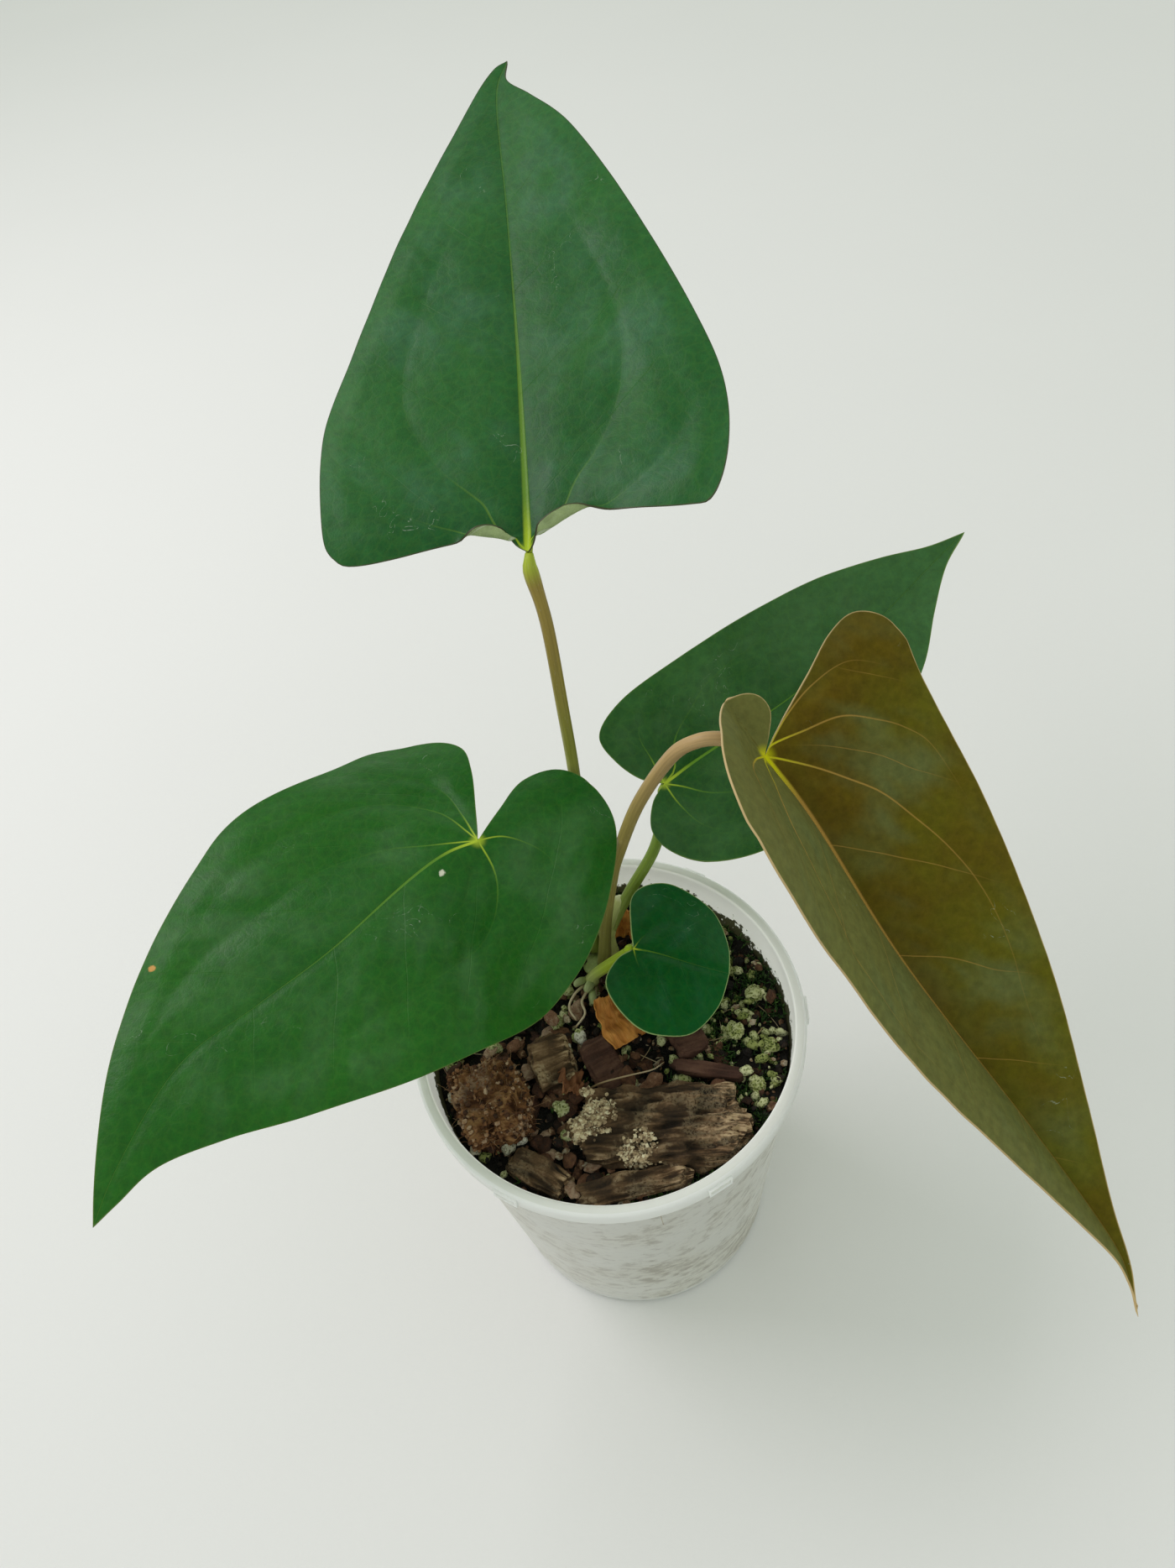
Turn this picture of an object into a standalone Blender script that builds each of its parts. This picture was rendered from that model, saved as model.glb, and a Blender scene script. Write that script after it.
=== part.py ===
"""Potted anthurium: five long-stalked leaves in a clear plastic cup of bark mix.

Metres, +Z up.  The origin is the centre of the pot's base, +X is the plant's right
and -Y its front.  Points of the plant and of the bark are written in millimetres.
"""
import math

import bmesh
import bpy
from mathutils import Matrix, Vector, noise

MM = 0.001
GAP = 0.3 * MM                  # clearance between pieces that touch

# Pot
POT_HEIGHT = 117 * MM
POT_BASE_RADIUS = 43.3 * MM
POT_MOUTH_RADIUS = 52.6 * MM    # outside of the wall, just under the rim
POT_WALL = 0.8 * MM
RIM_RADIUS = 55 * MM
RIM_DROP = 5.3 * MM             # height of the skirt that hangs from the rim
FOOT_ROUNDING = 3 * MM
BASE_RECESS = 1.2 * MM          # the middle of the base stands clear of the table
FOOT_RING_RADIUS = 34 * MM      # inner edge of the ring that the pot stands on
CENTRE_PAD_RADIUS = 12 * MM     # flat pad in the middle of the base
DRAIN_HOLES = 6
DRAIN_RADIUS = 2.5 * MM
DRAIN_CIRCLE = 24 * MM
LUGS = 6
LUG_START = -7                  # degrees from +X to the first lug
LUG_SIZE = (1.0 * MM, 6.0 * MM, 3.4 * MM)
TURN_STEPS = 48

# Potting mix
MIX_TOP = 101.5 * MM
MIX_BUMP = 0.9 * MM
STEM_DEPTH = 24 * MM            # how deep the stem is planted

# Stem and leaves
STEM_CENTRE = (-0.5, 25)
STEM_RADIUS = 4.2 * MM
STEM_TOP = 105.5 * MM
BLADE_THICKNESS = 0.5 * MM
BASE_FOLD_REACH = 25            # mm from the sinus over which the base's own fold fades
BLADE_ROW_LENGTH = 5.7          # mm of the midrib for each row of a blade's grid
BLADE_ROWS_LEAST = 12
BLADE_COLUMNS = 4
MIDRIB_STEPS = 200
ROW_CROWDING = 1.25             # rows start close together at the sinus

# Each leaf, in millimetres and degrees.  A blade runs from its sinus, where the stalk
# meets it, along heading and pitch; turn, bend and twist are their change and the
# roll's over 100 mm.  fold lifts both halves into a V, base_fold does so near the
# sinus only, and curl bends each half over 100 mm of its width.  fan is the share of
# the blade's rows that spring from the sinus.  Outlines run from the sinus round each
# lobe to the tip, as (across, along); the left half is at minus.
LEAVES = {
    "leaf_tall": {
        "sinus": (1.6, 65.9, 230),
        "heading": 82.9, "turn": 1.8, "pitch": 25, "bend": -5.2, "roll": 6.8, "twist": 1.0,
        "fold": 4.2, "base_fold": 7.2, "curl": 0, "fan": 0,
        "left": [(0, 0), (-8, 4), (-18, 3), (-40, -1), (-47, 1), (-50, 10), (-51, 38),
                 (-44, 60), (-32, 93), (-20, 120), (-8, 143), (-1.5, 153), (3, 156)],
        "right": [(0, 0), (8, 5), (18, 6), (40, 2), (47, 3), (51, 15), (51, 34),
                  (45, 57), (31, 96), (19, 124), (9, 139), (2.5, 148), (3, 156)],
        "midrib": [(0, 0), (0, 50), (-0.5, 100), (-1, 142), (3, 156)],
        "stalk": [(-0.5, 29.5, 106), (1.2, 39, 129), (2.8, 50.6, 160), (3.0, 55.4, 185),
                  (2.9, 60.3, 210.5), (1.4, 64, 225), (1.6, 65.6, 228.2)],
        "stalk_width": 3.3,
    },
    "leaf_left": {
        "sinus": (-24.6, 28.6, 170),
        "heading": 205.7, "turn": 20.3, "pitch": 5.5, "bend": -16.3, "roll": 12, "twist": 5.5,
        "fold": -2.9, "base_fold": -11.7, "curl": -13.8, "fan": 0.17,
        "left": [(0, 0), (6, -10), (11, -20), (9, -30), (0, -35), (-14, -34), (-29, -23),
                 (-41, -9), (-47, 6), (-47, 24), (-41, 52), (-29, 78), (-17, 96),
                 (-8, 110), (-5, 121), (-3, 128)],
        "right": [(0, 0), (10, -5), (23, -11), (33, -13), (42, -7), (48, 6), (46, 19),
                  (45, 43), (39, 57), (29, 77), (17, 98), (7, 113), (1, 122), (-3, 128)],
        "midrib": [(0, 0), (1, 12), (-3, 44), (-1, 68), (3, 89), (0, 114), (-3, 128)],
        "stalk": [(-5.5, 26.5, 106), (-7.5, 26.5, 120), (-12, 26.5, 140), (-18.5, 27.2, 156),
                  (-23.4, 28.4, 164.5), (-24.6, 28.8, 167)],
        "stalk_width": 3.2,
    },
    "leaf_right": {
        "sinus": (27.8, 54.2, 148),
        "heading": 21.9, "turn": 5.6, "pitch": 9, "bend": 15.6, "roll": -18.6, "twist": -0.5,
        "fold": 3.5, "base_fold": 0.3, "curl": 0, "fan": 0.1,
        "left": [(0, 0), (-5, -5), (-13, -8), (-22, -8), (-27, 0), (-29, 14), (-28, 38),
                 (-25, 58), (-20, 76), (-12, 92), (-4, 104), (1, 114)],
        "right": [(0, 0), (3, -6), (10, -11), (18, -10), (26, -4), (32, 8), (34, 22),
                  (32, 45), (27, 62), (20, 78), (11, 91), (4, 103), (1, 114)],
        "midrib": [(0, 0), (-0.5, 16), (1.5, 55), (0.5, 98), (1, 114)],
        "stalk": [(4.6, 27.8, 106), (4.8, 29.4, 113), (7.8, 31.6, 118.6), (13.2, 35.2, 125.6),
                  (21.6, 42, 133.4), (26.2, 50, 139), (27.6, 53.8, 144.8)],
        "stalk_width": 3.4,
    },
    "leaf_young": {
        "sinus": (47.8, 15, 200),
        "heading": -51.2, "turn": -7.3, "pitch": -47, "bend": 13, "roll": 16.1, "twist": -7.2,
        "fold": 28.7, "base_fold": 1.1, "curl": 0, "fan": 0.12,
        "left": [(0, 0), (-9, -4), (-20, -8.4), (-31, -13), (-40, -13), (-46, -5), (-44, 10),
                 (-40, 36), (-33, 64), (-25, 91), (-15, 116), (-6, 137), (-1, 150), (5.5, 160)],
        "right": [(0, 0), (-4.5, -3.5), (-8, -8), (-7, -13), (-1, -16), (14, -17), (32, -15),
                  (42, -8), (47, 6), (45, 24), (38, 45), (30, 73), (20, 101), (9, 130),
                  (3, 146), (2.5, 154), (5.5, 160)],
        "midrib": [(0, 0), (-1.5, 20), (1, 60), (-1, 110), (-1, 142), (1, 153), (5.5, 160)],
        "stalk": [(1.8, 24.2, 106), (4.4, 27, 124), (8.4, 28.4, 144), (11.2, 28, 155),
                  (17.7, 25.2, 177.5), (26.5, 21.2, 198.2), (32.6, 19, 204.8),
                  (38.6, 17.6, 205.9), (43.4, 17, 203.2), (45.1, 16.7, 198.9)],
        "stalk_width": 3.5,
    },
    "leaf_small": {
        "sinus": (10.7, 13.9, 128),
        "heading": -16.1, "turn": 0, "pitch": -18.7, "bend": -13, "roll": -10.5, "twist": 0,
        "fold": -10.2, "base_fold": 8.9, "curl": 0, "fan": 0.1,
        "left": [(0, 0), (-7, -2), (-15, -3), (-20, 1), (-22, 9), (-18, 21), (-9, 27),
                 (0, 28.5)],
        "right": [(0, 0), (4, -4), (11, -6), (17, -2), (21.5, 5), (22, 12), (19, 21),
                  (10, 27), (0, 28.5)],
        "midrib": [(0, 0), (-0.5, 7), (0, 18), (0, 28.5)],
        "stalk": [(-2.6, 19.2, 106), (-1.2, 18.6, 110), (4.2, 16.8, 117.6), (9.2, 14.6, 125.2)],
        "stalk_width": 3.4,
    },
}
STALK_POINTS = 20
STALK_SWELL = 1.28              # a stalk is this much thicker at its two ends
SWELL_LENGTH = 0.12             # share of the stalk that each swelling takes

# Loose pieces on the mix: centre, size and turns about X, Y and Z, in mm and degrees
BARK = {
    "bark_slab": ((9, -29.8, 107.2), (41, 18.5, 9), (4, -2, -9)),
    "bark_front": ((-1, -44.2, 106.2), (28, 5.0, 6), (0, 0, 3)),
    "bark_left": ((-24.5, -36, 105.6), (16, 6.5, 6), (0, 4, -38)),
    "coir_chunk": ((-35, -15.5, 108.6), (17, 21, 11), (0, 0, 14)),
    "bark_curl": ((-17.5, -5, 106.2), (10, 14, 6), (10, 0, 12)),
    "bark_chip_centre": ((-3, -8.5, 105.2), (8, 15, 3), (6, 5, 22)),
    "bark_chip_right": ((21, -3, 105.4), (8, 12, 3), (-5, 8, 14)),
    "bark_chip_long": ((25, -15.6, 106.4), (17, 3.4, 2.8), (0, 2, -18)),
    "bark_rear": ((-24, 24, 106.2), (24, 12, 7), (3, 2, 38)),
}
# Pumice grains: place on the mix and mean width
PUMICE = [
    (36, 16, 5.0), (43, 6, 5.2), (35, -4.5, 5.6), (43.5, -11, 5.0), (37.5, -21.5, 4.4),
    (29.5, 8.5, 4.6), (33.5, 26, 5.0), (-46, -1.5, 4.2), (-15, 8, 4.6), (-9, 2.5, 4.2),
    (-34, 3, 5.0), (-16.5, -18.5, 4.4), (12.5, 6, 4.0), (20, 34, 4.8),
]
# Dry sheath scraps: centre, width, length, turns about X, Y and Z
SCRAPS = {
    "dry_sheath_front": ((2.2, 3.4, 108.4), 10, 13, (18, 14, 28)),
    "dry_sheath_rear": ((10.5, 35.5, 108.2), 6, 8, (64, 0, -18)),
}
SCRAP_THICKNESS = 0.5 * MM
FIBRE = [(-8, -15, 106.6), (-4, -15.2, 109.4), (3, -15.2, 110.8), (10, -14.4, 110.2),
         (13.5, -11.5, 107.4)]
FIBRE_WIDTH = 0.9

# Colours: base colour, roughness, opacity
FINISHES = {
    "pot_plastic": ((0.80, 0.86, 0.82), 0.38, 0.55),
    "potting_mix": ((0.045, 0.028, 0.018), 0.95, 1),
    "stem_green": ((0.30, 0.42, 0.12), 0.5, 1),
    "stalk_olive": ((0.21, 0.25, 0.07), 0.42, 1),
    "stalk_green": ((0.26, 0.44, 0.07), 0.4, 1),
    "stalk_bronze": ((0.40, 0.26, 0.17), 0.42, 1),
    "leaf_green": ((0.022, 0.105, 0.030), 0.36, 1),
    "leaf_dark": ((0.014, 0.080, 0.026), 0.36, 1),
    "leaf_bronze": ((0.105, 0.075, 0.016), 0.42, 1),
    "bark": ((0.115, 0.055, 0.028), 0.85, 1),
    "coir": ((0.130, 0.045, 0.018), 0.95, 1),
    "pumice": ((0.50, 0.53, 0.40), 0.9, 1),
    "dry_sheath": ((0.46, 0.17, 0.045), 0.7, 1),
    "root_fibre": ((0.42, 0.30, 0.17), 0.8, 1),
}
STALK_FINISH = {"leaf_tall": "stalk_olive", "leaf_left": "stalk_green",
                "leaf_right": "stalk_green", "leaf_young": "stalk_bronze",
                "leaf_small": "stalk_green"}
BLADE_FINISH = {"leaf_tall": "leaf_dark", "leaf_left": "leaf_green",
                "leaf_right": "leaf_green", "leaf_young": "leaf_bronze",
                "leaf_small": "leaf_green"}


# ---------------------------------------------------------------- scene and helpers
def clear_scene():
    for old in list(bpy.data.objects):
        bpy.data.objects.remove(old)


def new_collection(name):
    made = bpy.data.collections.new(name)
    bpy.context.scene.collection.children.link(made)
    return made


def finish(name):
    """The Principled material of that name, made on first use."""
    known = bpy.data.materials.get(name)
    if known:
        return known
    colour, roughness, opacity = FINISHES[name]
    made = bpy.data.materials.new(name)
    made.use_nodes = True
    shader = made.node_tree.nodes["Principled BSDF"]
    shader.inputs["Base Color"].default_value = (*colour, 1)
    shader.inputs["Roughness"].default_value = roughness
    shader.inputs["Metallic"].default_value = 0
    shader.inputs["Alpha"].default_value = opacity
    return made


def add_object(name, data, collection, finish_name=None):
    made = bpy.data.objects.new(name, data)
    collection.objects.link(made)
    if finish_name:
        data.materials.append(finish(finish_name))
    return made


def mesh_from(bm, name):
    bmesh.ops.recalc_face_normals(bm, faces=bm.faces)
    mesh = bpy.data.meshes.new(name)
    bm.to_mesh(mesh)
    bm.free()
    return mesh


def smooth(mesh, sharp_degrees=40):
    mesh.shade_smooth()
    mesh.set_sharp_from_angle(angle=math.radians(sharp_degrees))


def turned(name, profile, collection, finish_name):
    """A solid of revolution about Z; the profile goes up the inside and down the outside."""
    bm = bmesh.new()
    points = [bm.verts.new((radius, 0, height)) for radius, height in profile]
    for start, end in zip(points, points[1:]):
        bm.edges.new((start, end))
    mesh = bpy.data.meshes.new(name)
    bm.to_mesh(mesh)
    bm.free()
    made = add_object(name, mesh, collection, finish_name)
    screw = made.modifiers.new("turn", "SCREW")
    screw.axis = "Z"
    screw.steps = TURN_STEPS
    screw.render_steps = TURN_STEPS
    screw.use_merge_vertices = True
    screw.merge_threshold = 0.01 * MM
    screw.use_smooth_shade = True
    return made


def make_real(item):
    """Replace an object's mesh by the one its modifiers give."""
    bpy.context.view_layer.update()
    evaluated = item.evaluated_get(bpy.context.evaluated_depsgraph_get())
    mesh = bpy.data.meshes.new_from_object(evaluated)
    item.modifiers.clear()
    item.data = mesh
    return mesh


def cut(item, cutter, name, operation="DIFFERENCE"):
    modifier = item.modifiers.new(name, "BOOLEAN")
    modifier.operation = operation
    modifier.solver = "EXACT"
    modifier.object = cutter


def guide(made):
    made.hide_render = True
    made.display_type = "WIRE"
    return made


def smooth_path(points, count):
    """count points along a Catmull-Rom curve through the given ones, evenly spaced."""
    points = [Vector(point) for point in points]
    ends = [2 * points[0] - points[1]] + points + [2 * points[-1] - points[-2]]
    fine = []
    for a, b, c, d in zip(ends, ends[1:], ends[2:], ends[3:]):
        for step in range(8):
            t = step / 8
            fine.append(0.5 * (2 * b + (c - a) * t + (2 * a - 5 * b + 4 * c - d) * t * t
                               + (3 * b - a - 3 * c + d) * t ** 3))
    fine.append(points[-1])
    lengths = [0.0]
    for start, end in zip(fine, fine[1:]):
        lengths.append(lengths[-1] + (end - start).length)
    path = []
    piece = 0
    for index in range(count):
        wanted = lengths[-1] * index / (count - 1)
        while piece < len(fine) - 2 and lengths[piece + 1] < wanted:
            piece += 1
        share = (wanted - lengths[piece]) / (lengths[piece + 1] - lengths[piece])
        path.append(fine[piece].lerp(fine[piece + 1], share))
    return path


def tube(name, route, width, widths, collection, finish_name, sides=2):
    """A round stalk along route (mm); widths scales its width at each point."""
    curve = bpy.data.curves.new(name, "CURVE")
    curve.dimensions = "3D"
    curve.bevel_depth = width / 2 * MM
    curve.bevel_resolution = sides
    curve.use_fill_caps = True
    spline = curve.splines.new("POLY")
    spline.points.add(len(route) - 1)
    for point, place, scale in zip(spline.points, route, widths):
        point.co = (*(place * MM), 1)
        point.radius = scale
    spline.use_smooth = True
    return add_object(name, curve, collection, finish_name)


# ---------------------------------------------------------------- pot and mix
def wall_radius(height):
    """Outside radius of the pot's wall at a height."""
    return POT_BASE_RADIUS + (POT_MOUTH_RADIUS - POT_BASE_RADIUS) * height / POT_HEIGHT


def pot_profile():
    top = POT_HEIGHT
    skirt = top - RIM_DROP
    under = top - POT_WALL
    floor = BASE_RECESS + POT_WALL
    inner = POT_MOUTH_RADIUS - POT_WALL
    foot = FOOT_ROUNDING
    return [
        (0, POT_WALL),
        (CENTRE_PAD_RADIUS, POT_WALL),
        (CENTRE_PAD_RADIUS + BASE_RECESS, floor),
        (FOOT_RING_RADIUS - BASE_RECESS, floor),
        (FOOT_RING_RADIUS, POT_WALL),
        (POT_BASE_RADIUS - foot, POT_WALL),
        (wall_radius(foot) - POT_WALL, foot + POT_WALL),
        (inner, top - 1.2 * MM),
        (inner + 0.5 * MM, top - 0.2 * MM),
        (inner + 1.2 * MM, top),
        (RIM_RADIUS - 0.9 * MM, top),
        (RIM_RADIUS - 0.2 * MM, top - 0.3 * MM),
        (RIM_RADIUS, top - 1.2 * MM),
        (RIM_RADIUS, skirt),
        (RIM_RADIUS - POT_WALL, skirt),
        (RIM_RADIUS - POT_WALL, under - 0.5 * MM),
        (POT_MOUTH_RADIUS + 0.4 * MM, under - 0.5 * MM),
        (POT_MOUTH_RADIUS, under - 1.4 * MM),
        (wall_radius(foot), foot),
        (POT_BASE_RADIUS - 0.3 * foot, 0.3 * foot),
        (POT_BASE_RADIUS - foot, 0),
        (FOOT_RING_RADIUS + BASE_RECESS, 0),
        (FOOT_RING_RADIUS, BASE_RECESS),
        (CENTRE_PAD_RADIUS + BASE_RECESS, BASE_RECESS),
        (CENTRE_PAD_RADIUS, 0),
        (0, 0),
    ]


def drain_cutter(collection):
    """Upright pins that cut the drain holes."""
    bm = bmesh.new()
    for index in range(DRAIN_HOLES):
        angle = math.tau * index / DRAIN_HOLES
        place = Matrix.Rotation(angle, 4, "Z") @ Matrix.Translation((DRAIN_CIRCLE, 0, 0))
        bmesh.ops.create_cone(bm, cap_ends=True, segments=14, radius1=DRAIN_RADIUS,
                              radius2=DRAIN_RADIUS, depth=12 * MM, matrix=place)
    return guide(add_object("cutter_drains", mesh_from(bm, "cutter_drains"), collection))


def lug_blocks(collection):
    """The stacking lugs: small blocks that stand out of the rim's skirt."""
    bm = bmesh.new()
    out = RIM_RADIUS - 0.1 * MM
    height = POT_HEIGHT - 3.0 * MM
    for index in range(LUGS):
        angle = math.radians(LUG_START + 360 / LUGS * index)
        place = Matrix.Rotation(angle, 4, "Z") @ Matrix.Translation((out, 0, height))
        bmesh.ops.create_cube(bm, size=1, matrix=place @ Matrix.Diagonal((*LUG_SIZE, 1)))
    return guide(add_object("lug_blocks", mesh_from(bm, "lug_blocks"), collection))


def build_pot(parts, cutters):
    pot = turned("pot", pot_profile(), parts, "pot_plastic")
    cut(pot, lug_blocks(cutters), "lugs", "UNION")
    cut(pot, drain_cutter(cutters), "drains")


def mix_profile():
    floor = BASE_RECESS + POT_WALL + GAP
    wall = POT_WALL + GAP
    outer_top = wall_radius(MIX_TOP) - wall
    low = FOOT_ROUNDING + POT_WALL + GAP
    rings = [(outer_top * share, MIX_TOP) for share in (0, 0.16, 0.34, 0.52, 0.68, 0.84, 0.97)]
    return rings + [
        (outer_top, MIX_TOP - 1.5 * MM),
        (wall_radius(low) - wall, low),
        (POT_BASE_RADIUS - FOOT_ROUNDING - 0.4 * MM, floor),
        (0, floor),
    ]


def build_mix(parts, cutters):
    """The mix fills the pot; its top is bumpy and has a pocket for the stem."""
    mix = turned("potting_mix", mix_profile(), parts, "potting_mix")
    mesh = make_real(mix)
    for vertex in mesh.vertices:
        radius = math.hypot(vertex.co.x, vertex.co.y)
        if vertex.co.z > MIX_TOP - 0.1 * MM and radius > 9 * MM:
            vertex.co.z += MIX_BUMP * noise.noise(vertex.co / (9 * MM))
    bm = bmesh.new()
    depth = STEM_DEPTH + 10 * MM
    place = Matrix.Translation((STEM_CENTRE[0] * MM, STEM_CENTRE[1] * MM,
                                MIX_TOP - STEM_DEPTH - GAP + depth / 2))
    bmesh.ops.create_cone(bm, cap_ends=True, segments=16, radius1=STEM_RADIUS * 0.7 + GAP,
                          radius2=STEM_RADIUS * 1.2 + GAP, depth=depth, matrix=place)
    pocket = guide(add_object("cutter_stem", mesh_from(bm, "cutter_stem"), cutters))
    cut(mix, pocket, "pocket")


# ---------------------------------------------------------------- plant
def build_stem(parts):
    """Short knobbly stem, ringed by old leaf scars."""
    bottom = MIX_TOP - STEM_DEPTH
    rings = 9
    profile = [(0, STEM_TOP)]
    for index in range(rings):
        height = STEM_TOP + (bottom - STEM_TOP) * index / (rings - 1)
        scar = 0.93 if index % 2 == 0 else 1.0
        taper = 1 - 0.32 * index / (rings - 1)
        profile.append((STEM_RADIUS * scar * taper, height))
    profile.append((0, bottom))
    bm = bmesh.new()
    points = [bm.verts.new((radius, 0, height)) for radius, height in profile]
    for start, end in zip(points, points[1:]):
        bm.edges.new((start, end))
    bmesh.ops.spin(bm, geom=bm.verts[:] + bm.edges[:], cent=(0, 0, 0), axis=(0, 0, 1),
                   angle=math.tau, steps=12, use_merge=True)
    bmesh.ops.remove_doubles(bm, verts=bm.verts, dist=0.02 * MM)
    mesh = mesh_from(bm, "stem")
    smooth(mesh)
    stem = add_object("stem", mesh, parts, "stem_green")
    stem.location = (STEM_CENTRE[0] * MM, STEM_CENTRE[1] * MM, 0)


def blade_axes(leaf, along):
    """Directions along, across (to the right) and out of the upper face at the midrib."""
    grown = max(along, 0) / 100
    heading = math.radians(leaf["heading"] + leaf["turn"] * grown)
    pitch = math.radians(leaf["pitch"] + leaf["bend"] * grown)
    roll = math.radians(leaf["roll"] + leaf["twist"] * along / 100)
    forward = Vector((math.cos(heading) * math.cos(pitch),
                      math.sin(heading) * math.cos(pitch), math.sin(pitch)))
    level = Vector((math.sin(heading), -math.cos(heading), 0))
    upward = level.cross(forward)
    across = level * math.cos(roll) + upward * math.sin(roll)
    upper = upward * math.cos(roll) - level * math.sin(roll)
    return forward, across, upper


def midrib_sway(leaf, along_mm):
    """How far the midrib wanders to the right of its straight line."""
    points = leaf["midrib"]
    for (start_x, start), (end_x, end) in zip(points, points[1:]):
        if along_mm <= end:
            share = max(0, along_mm - start) / (end - start)
            return start_x + (end_x - start_x) * share
    return points[-1][0]


def blade_point(leaf, across_mm, along_mm):
    """A point of the blade's upper face, across from the midrib and along it."""
    steps = 16
    place = Vector(leaf["sinus"])
    for step in range(steps):
        forward = blade_axes(leaf, along_mm * (step + 0.5) / steps)[0]
        place += forward * along_mm / steps
    across, upper = blade_axes(leaf, along_mm)[1:]
    sway = midrib_sway(leaf, along_mm)
    reach = across_mm - sway
    near_base = math.exp(-(along_mm / BASE_FOLD_REACH) ** 2)
    fold = leaf["fold"] + leaf["base_fold"] * near_base + leaf["curl"] * abs(reach) / 200
    fold = math.radians(fold)
    return (place + (sway + reach * math.cos(fold)) * across
            + abs(reach) * math.sin(fold) * upper)


def build_blade(name, leaf, parts):
    """One grid bent over both halves; its first and last rows close up at sinus and tip."""
    length = leaf["midrib"][-1][1]
    rows = max(BLADE_ROWS_LEAST, round(length / BLADE_ROW_LENGTH))
    bm = bmesh.new()
    bmesh.ops.create_grid(bm, x_segments=2 * BLADE_COLUMNS, y_segments=rows, size=1)
    edges = {}
    for side in ("left", "right"):
        outline = [Vector((across, along, 0)) for across, along in leaf[side]]
        edges[side] = smooth_path(outline, rows + 1)
    centre = [Vector((across, along, 0)) for across, along in leaf["midrib"]]
    midrib = smooth_path(centre, MIDRIB_STEPS + 1)
    for vertex in bm.verts:
        row = round((vertex.co.y + 1) / 2 * rows)
        edge = edges["right" if vertex.co.x > 0 else "left"][row]
        risen = max(0, row / rows - leaf["fan"]) / (1 - leaf["fan"])
        middle = midrib[round(MIDRIB_STEPS * risen ** ROW_CROWDING)]
        place = middle.lerp(edge, abs(vertex.co.x))
        vertex.co = blade_point(leaf, place.x, place.y) * MM
    bmesh.ops.remove_doubles(bm, verts=bm.verts, dist=0.02 * MM)
    mesh = mesh_from(bm, name)
    if mesh.polygons[0].normal.dot(blade_axes(leaf, 0)[2]) < 0:
        mesh.flip_normals()
    smooth(mesh)
    blade = add_object(name, mesh, parts, BLADE_FINISH[name.removesuffix("_blade")])
    skin = blade.modifiers.new("thickness", "SOLIDIFY")
    skin.thickness = BLADE_THICKNESS
    skin.offset = -1


def build_stalk(name, leaf, parts):
    """Leaf stalk, swollen where it leaves the stem and where it meets the blade."""
    route = smooth_path(leaf["stalk"], STALK_POINTS)
    widths = []
    for index in range(STALK_POINTS):
        share = index / (STALK_POINTS - 1)
        end = max(0, 1 - min(share, 1 - share) / SWELL_LENGTH)
        widths.append(1 + (STALK_SWELL - 1) * end ** 2)
    finish_name = STALK_FINISH[name.removesuffix("_petiole")]
    tube(name, route, leaf["stalk_width"], widths, parts, finish_name)


# ---------------------------------------------------------------- loose pieces
def rough_block(name, bm, rounding, roughness, grain, place):
    """Round off a unit shape, roughen it with noise and put it in its place."""
    seed = place.translation / (11 * MM)
    for vertex in bm.verts:
        ball = vertex.co.normalized() * 0.6
        vertex.co = vertex.co.lerp(ball, rounding)
        vertex.co *= 1 + roughness * noise.noise(vertex.co * grain + seed)
    bmesh.ops.transform(bm, matrix=place, verts=bm.verts)
    mesh = mesh_from(bm, name)
    smooth(mesh, 50)
    return mesh


def block_place(centre, size, turns):
    move = Matrix.Translation(Vector(centre) * MM)
    spin = Matrix.Identity(4)
    for angle, axis in zip(turns, "XYZ"):
        spin = Matrix.Rotation(math.radians(angle), 4, axis) @ spin
    return move @ spin @ Matrix.Diagonal((*(Vector(size) * MM), 1))


def build_bark(parts):
    for name, (centre, size, turns) in BARK.items():
        bm = bmesh.new()
        bmesh.ops.create_cube(bm, size=1)
        bmesh.ops.subdivide_edges(bm, edges=bm.edges, cuts=3, use_grid_fill=True)
        mesh = rough_block(name, bm, 0.35, 0.22, 2.6, block_place(centre, size, turns))
        add_object(name, mesh, parts, "coir" if name == "coir_chunk" else "bark")


def build_pumice(parts):
    for index, (x, y, width) in enumerate(PUMICE):
        name = f"pumice_grain_{index + 1:02d}"
        rest = MIX_TOP / MM + width * 0.42 + 1.3
        bm = bmesh.new()
        bmesh.ops.create_icosphere(bm, subdivisions=2, radius=0.5)
        size = (width, width * 0.86, width * 0.78)
        place = block_place((x, y, rest), size, (0, 12 * index, 47 * index))
        mesh = rough_block(name, bm, 0.2, 0.3, 2.2, place)
        add_object(name, mesh, parts, "pumice")


def build_scraps(parts):
    """Papery remains of the sheaths round old leaves, cupped along their length."""
    for name, (centre, width, length, turns) in SCRAPS.items():
        bm = bmesh.new()
        bmesh.ops.create_grid(bm, x_segments=5, y_segments=6, size=0.5)
        for vertex in bm.verts:
            narrow = 1 - 1.1 * max(0, vertex.co.y) ** 1.5
            cup = 3.2 * vertex.co.x ** 2 + 0.5 * vertex.co.y ** 2
            vertex.co = Vector((vertex.co.x * narrow * width, vertex.co.y * length,
                                cup + 0.5 * noise.noise(vertex.co * 4)))
        bmesh.ops.transform(bm, matrix=block_place(centre, (1, 1, 1), turns), verts=bm.verts)
        mesh = mesh_from(bm, name)
        smooth(mesh)
        scrap = add_object(name, mesh, parts, "dry_sheath")
        skin = scrap.modifiers.new("thickness", "SOLIDIFY")
        skin.thickness = SCRAP_THICKNESS
        skin.offset = 0


def build_fibre(parts):
    route = smooth_path(FIBRE, 12)
    tube("root_fibre", route, FIBRE_WIDTH, [1] * len(route), parts, "root_fibre")


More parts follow.
